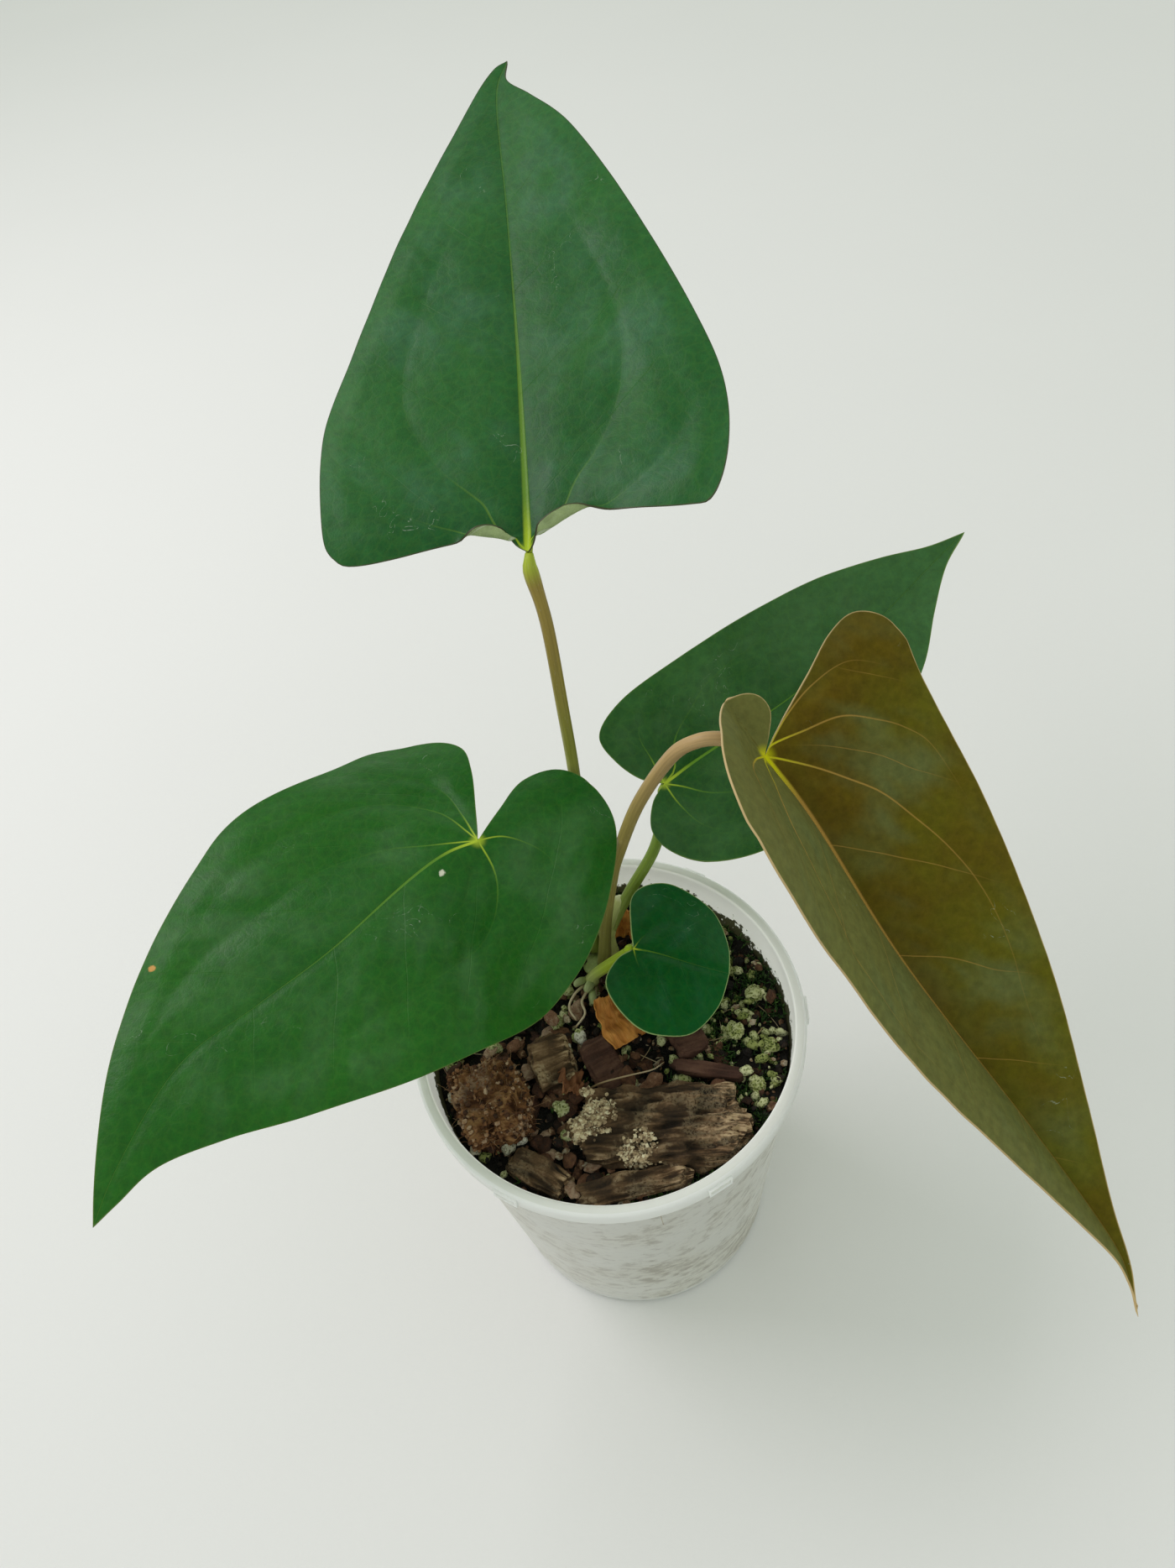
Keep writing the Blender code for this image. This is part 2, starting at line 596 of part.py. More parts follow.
def main():
    clear_scene()
    parts = new_collection("potted_anthurium")
    cutters = new_collection("cutters")
    build_pot(parts, cutters)
    build_mix(parts, cutters)
    build_stem(parts)
    for name, leaf in LEAVES.items():
        build_stalk(name + "_petiole", leaf, parts)
        build_blade(name + "_blade", leaf, parts)
    build_bark(parts)
    build_pumice(parts)
    build_scraps(parts)
    build_fibre(parts)


main()
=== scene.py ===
"""Looks of a potted anthurium: five long-stalked leaves in a frosted cup of bark mix.

Metres, +Z up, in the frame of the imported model.  Points of the plant and of the mix
are written in millimetres.
"""
import math
import random

import bmesh
import bpy
import numpy as np
from mathutils import Matrix, Vector, kdtree, noise


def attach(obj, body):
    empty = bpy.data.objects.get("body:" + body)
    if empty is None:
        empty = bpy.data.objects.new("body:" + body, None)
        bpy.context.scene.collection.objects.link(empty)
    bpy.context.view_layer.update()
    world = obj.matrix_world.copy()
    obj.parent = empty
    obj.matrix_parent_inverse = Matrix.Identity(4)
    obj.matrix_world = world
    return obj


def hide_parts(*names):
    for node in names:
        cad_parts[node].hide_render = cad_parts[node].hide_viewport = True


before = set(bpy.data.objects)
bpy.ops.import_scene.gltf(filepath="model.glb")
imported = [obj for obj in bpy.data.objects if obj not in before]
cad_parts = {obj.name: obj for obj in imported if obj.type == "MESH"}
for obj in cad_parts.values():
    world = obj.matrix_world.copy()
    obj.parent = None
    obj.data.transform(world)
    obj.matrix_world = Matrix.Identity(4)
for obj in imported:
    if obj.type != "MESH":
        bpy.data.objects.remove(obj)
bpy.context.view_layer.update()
MM = 0.001


# ------------------------------------------------------------------ camera
# A hand-held view from the front, well above the plant and looking down on it, with
# the camera turned a little about its own line of sight.
CAMERA_PLACE = (0.006, -0.15824, 0.41124)
LOOK_DOWN = 50.48
CAMERA_ROLL = -9.97
LENS = 26.98

camera_data = bpy.data.cameras.new("camera")
camera_data.lens = LENS
camera_data.sensor_width = 36
camera_data.clip_start = 0.01
camera = bpy.data.objects.new("camera", camera_data)
camera.matrix_world = (Matrix.Translation(CAMERA_PLACE)
                       @ Matrix.Rotation(math.radians(90 - LOOK_DOWN), 4, "X")
                       @ Matrix.Rotation(math.radians(CAMERA_ROLL), 4, "Z"))
bpy.context.scene.collection.objects.link(camera)
bpy.context.scene.camera = camera


# ------------------------------------------------------------------ floor and light
# A wide sheet of matt pale paper under the pot.  One large soft window at the left and
# behind, and even light from a pale room, so that shadows are faint and greenish.
FLOOR_HALF = 3.0
FLOOR_DROP = 0.05 * MM
FLOOR_COLOUR = (0.80, 0.79, 0.79)
FLOOR_STAIN_COLOUR = (0.776, 0.7663, 0.7663)
WINDOW_PLACE = (-0.75, 0.42, 1.05)
WINDOW_AIM = (0.0, 0.05, 0.12)
WINDOW_SIZE = (0.75, 0.55)
WINDOW_POWER = 6.2
WINDOW_COLOUR = (1.0, 0.93, 1.0)
ROOM_COLOUR = (0.91, 0.98, 0.885)
ROOM_STRENGTH = 0.76


def node(tree, kind, inputs=None, **settings):
    """A new shader node; inputs gives each socket a value or the output that feeds it."""
    made = tree.nodes.new("ShaderNode" + kind)
    for key, value in settings.items():
        setattr(made, key, value)
    for key, value in (inputs or {}).items():
        if isinstance(value, bpy.types.NodeSocket):
            tree.links.new(value, made.inputs[key])
        else:
            made.inputs[key].default_value = value
    return made


def calc(tree, operation, *values, clamp=False):
    """One step of arithmetic on numbers or outputs."""
    made = node(tree, "Math", dict(enumerate(values)), operation=operation, use_clamp=clamp)
    return made.outputs[0]


def fade(tree, value, start, end, low=0.0, high=1.0):
    """Eases from low to high as value goes from start to end."""
    made = node(tree, "MapRange", {0: value, 1: start, 2: end, 3: low, 4: high},
                interpolation_type="SMOOTHSTEP")
    return made.outputs[0]


def mix(tree, share, first, second, mode="MIX"):
    """A colour between two; each is an output or a red, green and blue."""
    made = node(tree, "Mix", {0: share}, data_type="RGBA", blend_type=mode)
    for socket, colour in ((made.inputs[6], first), (made.inputs[7], second)):
        if isinstance(colour, bpy.types.NodeSocket):
            tree.links.new(colour, socket)
        else:
            socket.default_value = (*colour, 1)
    return made.outputs[2]


def cloud(tree, place, scale, detail=2.0, roughness=0.5, distortion=0.0):
    """Soft noise from 0 to 1, with scale waves to the metre."""
    made = node(tree, "TexNoise", {"Vector": place, "Scale": scale, "Detail": detail,
                                   "Roughness": roughness, "Distortion": distortion})
    return made.outputs[0]


def cells(tree, place, scale, feature="F1"):
    """Distance from the middles or the edges of random cells, scale of them to the metre."""
    made = node(tree, "TexVoronoi", {"Vector": place, "Scale": scale}, feature=feature)
    return made.outputs["Distance"]


def object_place(tree):
    """The place on the object, in metres."""
    return node(tree, "TexCoord").outputs["Object"]


def new_material(name, **plain):
    """A material, its node tree and its Principled shader, with these plain values."""
    made = bpy.data.materials.new(name)
    made.use_nodes = True
    shader = made.node_tree.nodes["Principled BSDF"]
    for key, value in plain.items():
        shader.inputs[key.replace("_", " ")].default_value = value
    return made, made.node_tree, shader


def dress(tree, shader, colour, roughness, height, depth):
    """Feeds a shader its colour, roughness and a bump whose height is depth metres."""
    tree.links.new(colour, shader.inputs["Base Color"])
    tree.links.new(roughness, shader.inputs["Roughness"])
    bump = node(tree, "Bump", {"Strength": 1.0, "Distance": depth, "Height": height})
    tree.links.new(bump.outputs[0], shader.inputs["Normal"])


def add_piece(name, bm, *materials):
    """An object at the origin from a finished bmesh, smooth shaded."""
    mesh = bpy.data.meshes.new(name)
    bm.to_mesh(mesh)
    bm.free()
    mesh.shade_smooth()
    for material in materials:
        mesh.materials.append(material)
    piece = bpy.data.objects.new(name, mesh)
    bpy.context.scene.collection.objects.link(piece)
    return piece


def build_paper():
    """Pale paper with a faint broad stain and a fine tooth."""
    material, tree, shader = new_material("matt_paper")
    place = object_place(tree)
    stain = cloud(tree, place, 6, 3)
    tooth = cloud(tree, place, 900, 2)
    colour = mix(tree, stain, FLOOR_STAIN_COLOUR, FLOOR_COLOUR)
    dress(tree, shader, colour, fade(tree, tooth, 0, 1, 0.75, 0.9), tooth, 0.05 * MM)
    return material


bm = bmesh.new()
bmesh.ops.create_grid(bm, x_segments=2, y_segments=2, size=FLOOR_HALF,
                      matrix=Matrix.Translation((0, 0, -FLOOR_DROP)))
floor = add_piece("floor", bm, build_paper())

window_data = bpy.data.lights.new("window", "AREA")
window_data.shape = "RECTANGLE"
window_data.size, window_data.size_y = WINDOW_SIZE
window_data.energy = WINDOW_POWER
window_data.color = WINDOW_COLOUR
window = bpy.data.objects.new("window", window_data)
aim = (Vector(WINDOW_AIM) - Vector(WINDOW_PLACE)).to_track_quat("-Z", "Y")
window.matrix_world = Matrix.Translation(WINDOW_PLACE) @ aim.to_matrix().to_4x4()
bpy.context.scene.collection.objects.link(window)

room = bpy.data.worlds.new("room")
room.use_nodes = True
room.node_tree.nodes["Background"].inputs["Color"].default_value = (*ROOM_COLOUR, 1)
room.node_tree.nodes["Background"].inputs["Strength"].default_value = ROOM_STRENGTH
bpy.context.scene.world = room
bpy.context.scene.view_settings.view_transform = "Standard"


# ------------------------------------------------------------------ pot
# A grow cup of thin frosted polypropylene, moulded in one piece, with a turned-out rim,
# a short skirt that carries six stacking lugs, and drain holes in its recessed base.
# The milky wall shows the bark and grains that press against its inside, as painted shade.
POT_HEIGHT = 117.0
POT_BASE_RADIUS = 43.3
POT_MOUTH_RADIUS = 52.6         # outside of the wall, just under the rim
POT_WALL = 0.8
RIM_RADIUS = 55.0
RIM_DROP = 5.3
RIM_ROUNDING = 1.1
FOOT_ROUNDING = 3.0
BASE_RECESS = 1.2
FOOT_RING_RADIUS = 34.0
CENTRE_PAD_RADIUS = 12.0
DRAIN_HOLES = 6
DRAIN_RADIUS = 2.5
DRAIN_CIRCLE = 24.0
LUGS = 6
LUG_START = -7                  # degrees from +X to the first lug
LUG_SIZE = (1.5, 7.0, 3.6)
LUG_FRAME = 0.7
LUG_RECESS = 0.5
POT_STEPS = 160
MIX_TOP = 101.5
POT_COLOUR = (0.82, 0.83, 0.78)
POT_WALL_COLOUR = (0.72, 0.70, 0.60)
POT_SHADOW_COLOUR = (0.23, 0.19, 0.135)
POT_GLINT_COLOUR = (0.86, 0.85, 0.76)
POT_HIGHLIGHT_COLOUR = (0.97, 0.98, 0.96)
GRIME_COLOUR = (0.03, 0.03, 0.012)
POT_CLEARNESS = 0.10
# Painted glow: how brightly the bare inside wall above the mix gives off light
WALL_GLOW = 0.25                # daylight that the bare wall above the mix lets through
GRIME_FROM = 101                # mm up the wall, where the grime is thick
GRIME_TO = 116                  # mm up the wall, where it ends


def arc(across, up, radius, start, stop, steps):
    """Points of an arc, as (radius, height) of a profile; angles in degrees."""
    turns = [math.radians(start + (stop - start) * step / steps) for step in range(steps + 1)]
    return [(across + radius * math.cos(turn), up + radius * math.sin(turn)) for turn in turns]


def wall_radius(height):
    """Outside radius of the pot's wall at a height."""
    return POT_BASE_RADIUS + (POT_MOUTH_RADIUS - POT_BASE_RADIUS) * height / POT_HEIGHT


def pot_profile():
    """Up the inside, over the rim, down the skirt and the outside, and in under the base."""
    top, wall, round_, foot = POT_HEIGHT, POT_WALL, RIM_ROUNDING, FOOT_ROUNDING
    floor = BASE_RECESS + wall
    inner = POT_MOUTH_RADIUS - wall
    skirt = top - RIM_DROP
    foot_inner = wall_radius(foot) - wall
    small = foot_inner - POT_BASE_RADIUS + foot
    return ([(0, wall), (CENTRE_PAD_RADIUS, wall), (CENTRE_PAD_RADIUS + BASE_RECESS, floor),
             (FOOT_RING_RADIUS - BASE_RECESS, floor), (FOOT_RING_RADIUS, wall)]
            + arc(foot_inner - small, wall + small, small, -90, 0, 6)
            + arc(inner + round_, top - round_, round_, 180, 90, 6)
            + arc(RIM_RADIUS - round_, top - round_, round_, 90, 0, 8)
            + arc(RIM_RADIUS - 0.2, skirt + 0.2, 0.2, 0, -90, 3)
            + arc(RIM_RADIUS - wall + 0.2, skirt + 0.2, 0.2, -90, -180, 3)
            + [(RIM_RADIUS - wall, top - wall - 0.9), (RIM_RADIUS - wall - 0.3, top - wall - 0.6),
               (POT_MOUTH_RADIUS + 0.5, top - wall - 0.6), (POT_MOUTH_RADIUS, top - wall - 1.2)]
            + arc(wall_radius(foot) - foot, foot, foot, 0, -90, 8)
            + [(FOOT_RING_RADIUS + BASE_RECESS, 0), (FOOT_RING_RADIUS, BASE_RECESS),
               (CENTRE_PAD_RADIUS + BASE_RECESS, BASE_RECESS), (CENTRE_PAD_RADIUS, 0), (0, 0)])


def spun(profile, steps):
    """A bmesh turned about Z from a profile of (radius, height) in mm, closed at its poles."""
    bm = bmesh.new()
    points = [bm.verts.new((radius * MM, 0, height * MM)) for radius, height in profile]
    for start, end in zip(points, points[1:]):
        bm.edges.new((start, end))
    bmesh.ops.spin(bm, geom=bm.verts[:] + bm.edges[:], cent=(0, 0, 0), axis=(0, 0, 1),
                   angle=math.tau, steps=steps, use_merge=True)
    bmesh.ops.remove_doubles(bm, verts=bm.verts, dist=0.01 * MM)
    bmesh.ops.recalc_face_normals(bm, faces=bm.faces)
    return bm


def lug_shapes():
    """Small raised frames round the skirt, that keep stacked pots apart."""
    bm = bmesh.new()
    for index in range(LUGS):
        angle = math.radians(LUG_START + 360 / LUGS * index)
        place = (Matrix.Rotation(angle, 4, "Z")
                 @ Matrix.Translation(((RIM_RADIUS - 0.1) * MM, 0, (POT_HEIGHT - 3.0) * MM)))
        size = Matrix.Diagonal((*(Vector(LUG_SIZE) * MM), 1))
        made = bmesh.ops.create_cube(bm, size=1, matrix=place @ size)["verts"]
        out = place.to_3x3() @ Vector((1, 0, 0))
        faces = {face for vertex in made for face in vertex.link_faces}
        front = max(faces, key=lambda face: face.normal.dot(out))
        bmesh.ops.inset_region(bm, faces=[front], thickness=LUG_FRAME * MM, depth=0)
        bmesh.ops.inset_region(bm, faces=[front], thickness=0.12 * MM, depth=-LUG_RECESS * MM)
    bmesh.ops.bevel(bm, geom=[edge for edge in bm.edges if edge.calc_face_angle(0) > 1],
                    offset=0.1 * MM, affect="EDGES", segments=2, profile=0.5, material=-1)
    return bm


def drain_pins():
    """A ring of round pins, in the places of the drain holes."""
    bm = bmesh.new()
    for index in range(DRAIN_HOLES):
        place = (Matrix.Rotation(math.tau * index / DRAIN_HOLES, 4, "Z")
                 @ Matrix.Translation((DRAIN_CIRCLE * MM, 0, 0)))
        bmesh.ops.create_cone(bm, cap_ends=True, segments=32, radius1=DRAIN_RADIUS * MM,
                              radius2=DRAIN_RADIUS * MM, depth=12 * MM, matrix=place)
    return bm


def keep_modifiers(piece):
    """Makes the effect of a piece's modifiers part of its mesh."""
    bpy.context.view_layer.update()
    evaluated = piece.evaluated_get(bpy.context.evaluated_depsgraph_get())
    mesh = bpy.data.meshes.new_from_object(evaluated)
    piece.modifiers.clear()
    piece.data = mesh


def carve(piece, cutter_bm, operation):
    """Joins a second shape to a piece, or cuts it away."""
    cutter = add_piece("cutter", cutter_bm)
    modifier = piece.modifiers.new("carve", "BOOLEAN")
    modifier.operation = operation
    modifier.solver = "EXACT"
    modifier.object = cutter
    keep_modifiers(piece)
    bpy.data.objects.remove(cutter)


def attach_values(piece, name, values):
    """Gives a piece one number for each vertex, which its material reads by name."""
    layer = piece.data.attributes.new(name, "FLOAT", "POINT")
    layer.data.foreach_set("value", values)


def attribute(tree, name):
    """The outputs of a measure that the mesh carries."""
    return node(tree, "Attribute", attribute_name=name).outputs


def parts_of(tree, vector):
    """The X, Y and Z of a vector."""
    return node(tree, "SeparateXYZ", {0: vector}).outputs


def times(tree, *values):
    """All the values multiplied together."""
    product = values[0]
    for value in values[1:]:
        product = calc(tree, "MULTIPLY", product, value)
    return product


def times_colour(tree, colour, share):
    """A colour made darker or lighter by multiplying it."""
    grey = node(tree, "CombineColor", {0: share, 1: share, 2: share}).outputs[0]
    return mix(tree, 1.0, colour, grey, "MULTIPLY")


def shadows_of_mix(tree, place, lean, patch, x):
    """Mask of painted shade where bark presses on the wall, thicker towards the right."""
    blots = cloud(tree, lean, 210, 4, 0.62, 0.4)
    flecks = cloud(tree, lean, 620, 3, 0.6)
    blots = calc(tree, "MULTIPLY_ADD", flecks, 0.22, blots)
    touch = fade(tree, calc(tree, "ADD", blots, times(tree, patch, 0.5)), 0.78, 1.10)
    shift = calc(tree, "ADD", x, times(tree, patch, 0.06))
    return times(tree, touch, fade(tree, shift, -0.03, 0.05, 0.5, 1.0))


def grime_inside(tree, place, height, inside):
    """Mask of the dirt that watering leaves on the bare wall, thinner towards the rim."""
    dirt = calc(tree, "ADD", cloud(tree, place, 420, 4, 0.7),
                times(tree, cloud(tree, place, 70, 2), 0.5))
    level = fade(tree, height, GRIME_FROM, GRIME_TO, 0.52, 1.06)
    return times(tree, fade(tree, calc(tree, "SUBTRACT", dirt, level), 0, 0.05), inside)


def build_frosted_plastic(name):
    """Milky wall with the mix showing through it as painted shade, a grimy tide line inside,
    painted highlights on its rim, lugs and foot, and a painted glow on the bare inside wall.
    """
    material, tree, shader = new_material(name, IOR=1.49, Transmission_Weight=POT_CLEARNESS,
                                          Coat_Weight=0.25, Coat_Roughness=0.22,
                                          Subsurface_Weight=0.7, Subsurface_Scale=0.004,
                                          Subsurface_Radius=(1.0, 1.0, 0.95))
    place = object_place(tree)
    x, y, z = parts_of(tree, place)
    inside = attribute(tree, "inside")["Fac"]
    height = calc(tree, "DIVIDE", z, MM)
    filled = times(tree, fade(tree, height, MIX_TOP - 0.5, MIX_TOP + 3.5, 1, 0),
                   fade(tree, height, 2, 7))
    lean = node(tree, "Mapping", {"Vector": place, "Scale": (1, 1, 1.25),
                                  "Rotation": (0.35, 0.2, 0)}).outputs[0]
    patch = cloud(tree, place, 38, 2)
    # Painted shade: below the mix line the wall takes a darker, warmer tone, with dark blots where
    # bark presses on it
    touch = times(tree, shadows_of_mix(tree, place, lean, patch, x), filled, 0.8)
    # Painted glints: pale flecks on the wall below the mix line
    glint = fade(tree, cloud(tree, lean, 120, 3, 0.5, 1.2), 0.62, 0.70)
    warm = times(tree, filled, fade(tree, patch, 0.3, 0.7, 0.55, 1.0))
    colour = mix(tree, warm, POT_COLOUR, POT_WALL_COLOUR)
    colour = mix(tree, times(tree, glint, filled, 0.4), colour, POT_GLINT_COLOUR)
    colour = mix(tree, touch, colour, POT_SHADOW_COLOUR)
    grime = grime_inside(tree, place, height, inside)
    colour = mix(tree, grime, colour, GRIME_COLOUR)
    # Painted highlight: a pale line round the foot, and the rim and lugs marked bright, in near
    # white
    foot = times(tree, fade(tree, height, 0.5, 0.9), fade(tree, height, 1.6, 2.6, 1, 0), 0.5)
    bright = calc(tree, "MAXIMUM", attribute(tree, "bright")["Fac"], foot)
    colour = mix(tree, bright, colour, POT_HIGHLIGHT_COLOUR)
    # Painted glow: the bare inside wall above the mix gives off its own colour as light
    bare = times(tree, fade(tree, height, MIX_TOP - 2.5, MIX_TOP + 1.5), inside)
    tree.links.new(times_colour(tree, colour, bare), shader.inputs["Emission Color"])
    shader.inputs["Emission Strength"].default_value = WALL_GLOW
    dull = calc(tree, "MULTIPLY_ADD", cloud(tree, place, 60, 3), 0.2, 0.28)
    dress(tree, shader, colour, calc(tree, "MULTIPLY_ADD", grime, 0.4, dull),
          cloud(tree, place, 700, 3), 0.03 * MM)
    return material


pot = add_piece("frosted_pot", spun(pot_profile(), POT_STEPS),
                build_frosted_plastic("frosted_polypropylene"))
carve(pot, lug_shapes(), "UNION")
carve(pot, drain_pins(), "DIFFERENCE")
# Painted highlight: the rim's outer rounding and the lugs' fronts are marked bright
inside, bright = [], []
for vertex in pot.data.vertices:
    radius, height = math.hypot(vertex.co.x, vertex.co.y) / MM, vertex.co.z / MM
    inside.append(radius < wall_radius(height) - POT_WALL / 2)
    rounding = radius > RIM_RADIUS - 0.8 and height > POT_HEIGHT - RIM_ROUNDING - 0.3
    bright.append(1 if rounding or radius > RIM_RADIUS + 0.45 else 0)
attach_values(pot, "inside", inside)
attach_values(pot, "bright", bright)
pot.data.set_sharp_from_angle(angle=math.radians(40))
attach(pot, "root")
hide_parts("pot")


# ------------------------------------------------------------------ potting mix
# Damp, nearly black mix of broken bark, husk and fine grit that fills the cup to about
# a centimetre under its rim.  Its crumbs, small grains and moss lie loose on top.
HANDFUL = 40
MIX_STEPS = 120
MIX_RINGS = 34
MIX_WAVES = 1.5
MIX_BUMPS = 0.8
MIX_RISE = 1.6                  # how far the mix climbs at the wall
MIX_CLEAR = 0.3
MIX_TONE = 0.32
MIX_COLOURS = ((0.0, (0.003, 0.003, 0.002)), (0.45, (0.009, 0.007, 0.004)),
               (0.72, (0.028, 0.017, 0.009)), (0.9, (0.09, 0.055, 0.03)))
# Heaps of small lumps: how many, the seed of their places, how far out they lie and how
# high they rise off the mix, their sizes in mm, how flat they are, how much the small
# ones outnumber the large, and how finely each is modelled
CRUMBS = {"count": 1600, "seed": 11, "radius": 49.5, "rise": 2.6, "sizes": (1.0, 4.6),
          "flat": (0.3, 0.7), "bias": 2.4, "detail": 1}
CRUMB_COLOURS = ((0.0, (0.005, 0.004, 0.003)), (0.42, (0.018, 0.010, 0.006)),
                 (0.64, (0.075, 0.030, 0.014)), (0.82, (0.17, 0.085, 0.042)),
                 (0.94, (0.36, 0.25, 0.15)), (1.0, (0.52, 0.44, 0.32)))
SHARDS = {"count": 230, "seed": 17, "radius": 46, "rise": 4.2, "sizes": (2.6, 7.5),
          "flat": (0.14, 0.4), "bias": 1.5, "detail": 3}
SHARD_COLOURS = ((0.0, (0.012, 0.007, 0.004)), (0.35, (0.055, 0.022, 0.012)),
                 (0.6, (0.13, 0.055, 0.026)), (0.8, (0.22, 0.11, 0.06)),
                 (1.0, (0.40, 0.28, 0.19)))
MOSS = {"count": 1100, "seed": 5, "radius": 50.2}
MOSS_LEAFLETS = 5
MOSS_HEIGHT = (0.9, 2.6)
MOSS_LEAN = (0.1, 1.15)
MOSS_WIDTH = 0.34
MOSS_COLOURS = ((0.0, (0.010, 0.026, 0.006)), (0.6, (0.030, 0.085, 0.014)),
                (1.0, (0.11, 0.22, 0.04)))


def ramp(tree, value, stops):
    """A colour from a list of (place from 0 to 1, colour)."""
    made = node(tree, "ValToRGB", {0: value})
    points = made.color_ramp.elements
    while len(points) < len(stops):
        points.new(0.5)
    for point, (place, colour) in zip(points, stops):
        point.position = place
        point.color = (*colour, 1)
    return made.outputs[0]


def build_grit_material(name, stops, scale, depth, roughness=0.85):
    """Crumbly matter: each crumb has a tone of its own, broken up by fine noise."""
    material, tree, shader = new_material(name, Specular_IOR_Level=0.35)
    place = object_place(tree)
    tone = attribute(tree, "tone")["Fac"]
    rough = cloud(tree, place, scale, 4, 0.65)
    value = calc(tree, "ADD", tone, calc(tree, "MULTIPLY_ADD", rough, 0.9, -0.45), clamp=True)
    height = calc(tree, "ADD", rough, cloud(tree, place, scale * 4, 2))
    dull = fade(tree, rough, 0.3, 0.7, roughness - 0.2, roughness + 0.1)
    dress(tree, shader, ramp(tree, value, stops), dull, height, depth)
    return material


def mix_height(x, y):
    """Height of the mix's top in mm: bumpy, and a little higher along the wall."""
    wall = max(0, (math.hypot(x, y) - 38) / 12)
    return (MIX_TOP + MIX_RISE * wall ** 2 + 0.7
            + MIX_WAVES * noise.noise((x / 11, y / 11, 3.1))
            + MIX_BUMPS * noise.noise((x / 4, y / 4, 8.2)))


floor_height = BASE_RECESS + POT_WALL + MIX_CLEAR
mix_edge = wall_radius(MIX_TOP) - POT_WALL - MIX_CLEAR
low = FOOT_ROUNDING + POT_WALL + MIX_CLEAR
profile = [(mix_edge * ring / MIX_RINGS, MIX_TOP) for ring in range(MIX_RINGS + 1)]
profile += [(wall_radius(88) - POT_WALL - MIX_CLEAR, 88),
            (wall_radius(low) - POT_WALL - MIX_CLEAR, low),
            (POT_BASE_RADIUS - FOOT_ROUNDING - 0.4, floor_height), (0, floor_height)]
bm = spun(profile, MIX_STEPS)
for vertex in bm.verts:
    if vertex.co.z > (MIX_TOP - 0.1) * MM:
        vertex.co.z = mix_height(vertex.co.x / MM, vertex.co.y / MM) * MM
mix_body = add_piece("mix_body", bm, build_grit_material("damp_mix", MIX_COLOURS, 420, 0.6 * MM))
attach_values(mix_body, "tone", [MIX_TONE] * len(mix_body.data.vertices))
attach(mix_body, "root")
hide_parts("potting_mix")


def scatter(spec, weight):
    """Random places on the mix; weight gives the chance that a place is kept."""
    draw = random.Random(spec["seed"])
    radius = spec["radius"]
    places = []
    while len(places) < spec["count"]:
        x, y = draw.uniform(-radius, radius), draw.uniform(-radius, radius)
        if math.hypot(x, y) < radius and draw.random() < weight(x, y):
            places.append((x, y))
    return places, draw


def tumble(draw):
    """A random turn that leaves a lump lying roughly flat."""
    return (Matrix.Rotation(draw.uniform(0, math.tau), 4, "Z")
            @ Matrix.Rotation(draw.uniform(-0.5, 0.5), 4, "X")
            @ Matrix.Rotation(draw.uniform(-0.5, 0.5), 4, "Y"))


def gather(items, add_one):
    """One bmesh of many small shapes, put together by the handful, which is far quicker."""
    bm = bmesh.new()
    for start in range(0, len(items), HANDFUL):
        part = bmesh.new()
        part.verts.layers.float.new("tone")
        for item in items[start:start + HANDFUL]:
            add_one(part, item)
        mesh = bpy.data.meshes.new("handful")
        part.to_mesh(mesh)
        part.free()
        bm.from_mesh(mesh)
        bpy.data.meshes.remove(mesh)
    return bm


def lumps_at(points, draw, spec):
    """Small broken lumps at points (mm), each with its own tone."""
    small, large = spec["sizes"]

    def add_lump(bm, point):
        tone = bm.verts.layers.float["tone"]
        size = small + (large - small) * draw.random() ** spec["bias"]
        shape = Vector((size, size * draw.uniform(0.55, 0.95), size * draw.uniform(*spec["flat"])))
        middle = Vector(point) + Vector((0, 0, 0.15 * size))
        place = (Matrix.Translation(middle * MM) @ tumble(draw)
                 @ Matrix.Diagonal((*(shape * MM), 1)))
        made = bmesh.ops.create_icosphere(bm, subdivisions=spec["detail"], radius=0.5)["verts"]
        shade = draw.random()
        seed = middle + Vector((0, 0, shade)) * 3
        for vertex in made:
            vertex.co *= 1 + 0.55 * noise.noise(vertex.co * 2.3 + seed)
            vertex[tone] = shade
        bmesh.ops.transform(bm, matrix=place, verts=made)

    return gather(points, add_lump)


def heap_on_mix(spec, weight):
    """Lumps scattered over the mix, most of them low."""
    places, draw = scatter(spec, weight)
    points = [(x, y, mix_height(x, y) + spec["rise"] * draw.random() ** 2) for x, y in places]
    return lumps_at(points, draw, spec)


def anywhere(x, y):
    """The share of pieces that are kept where they may lie all over the mix."""
    return 1.0


crumbs = add_piece("mix_crumbs", heap_on_mix(CRUMBS, anywhere),
                   build_grit_material("bark_crumbs", CRUMB_COLOURS, 900, 0.3 * MM))
crumbs.data.shade_flat()
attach(crumbs, "root")


def shard_share(x, y):
    """Larger splinters lie thick at the left and in front, and keep off the right."""
    return 0.12 if x > 12 and y > -22 else 0.9


shards = add_piece("bark_shards", heap_on_mix(SHARDS, shard_share),
                   build_grit_material("bark_shards", SHARD_COLOURS, 700, 0.4 * MM))
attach(shards, "root")


def moss_share(x, y):
    """Moss keeps to the right-hand side and to a band along the wall."""
    right = min(1, max(0, (x - 10) / 16)) * (0.9 if y < 20 else 0.5)
    wall = 0.55 if math.hypot(x, y) > 44 and x > -20 else 0.0
    patch = 0.5 + noise.noise((x / 7, y / 7, 5.5))
    return max(right, wall) * min(1, max(0.05, patch)) + 0.02


places, draw = scatter(MOSS, moss_share)


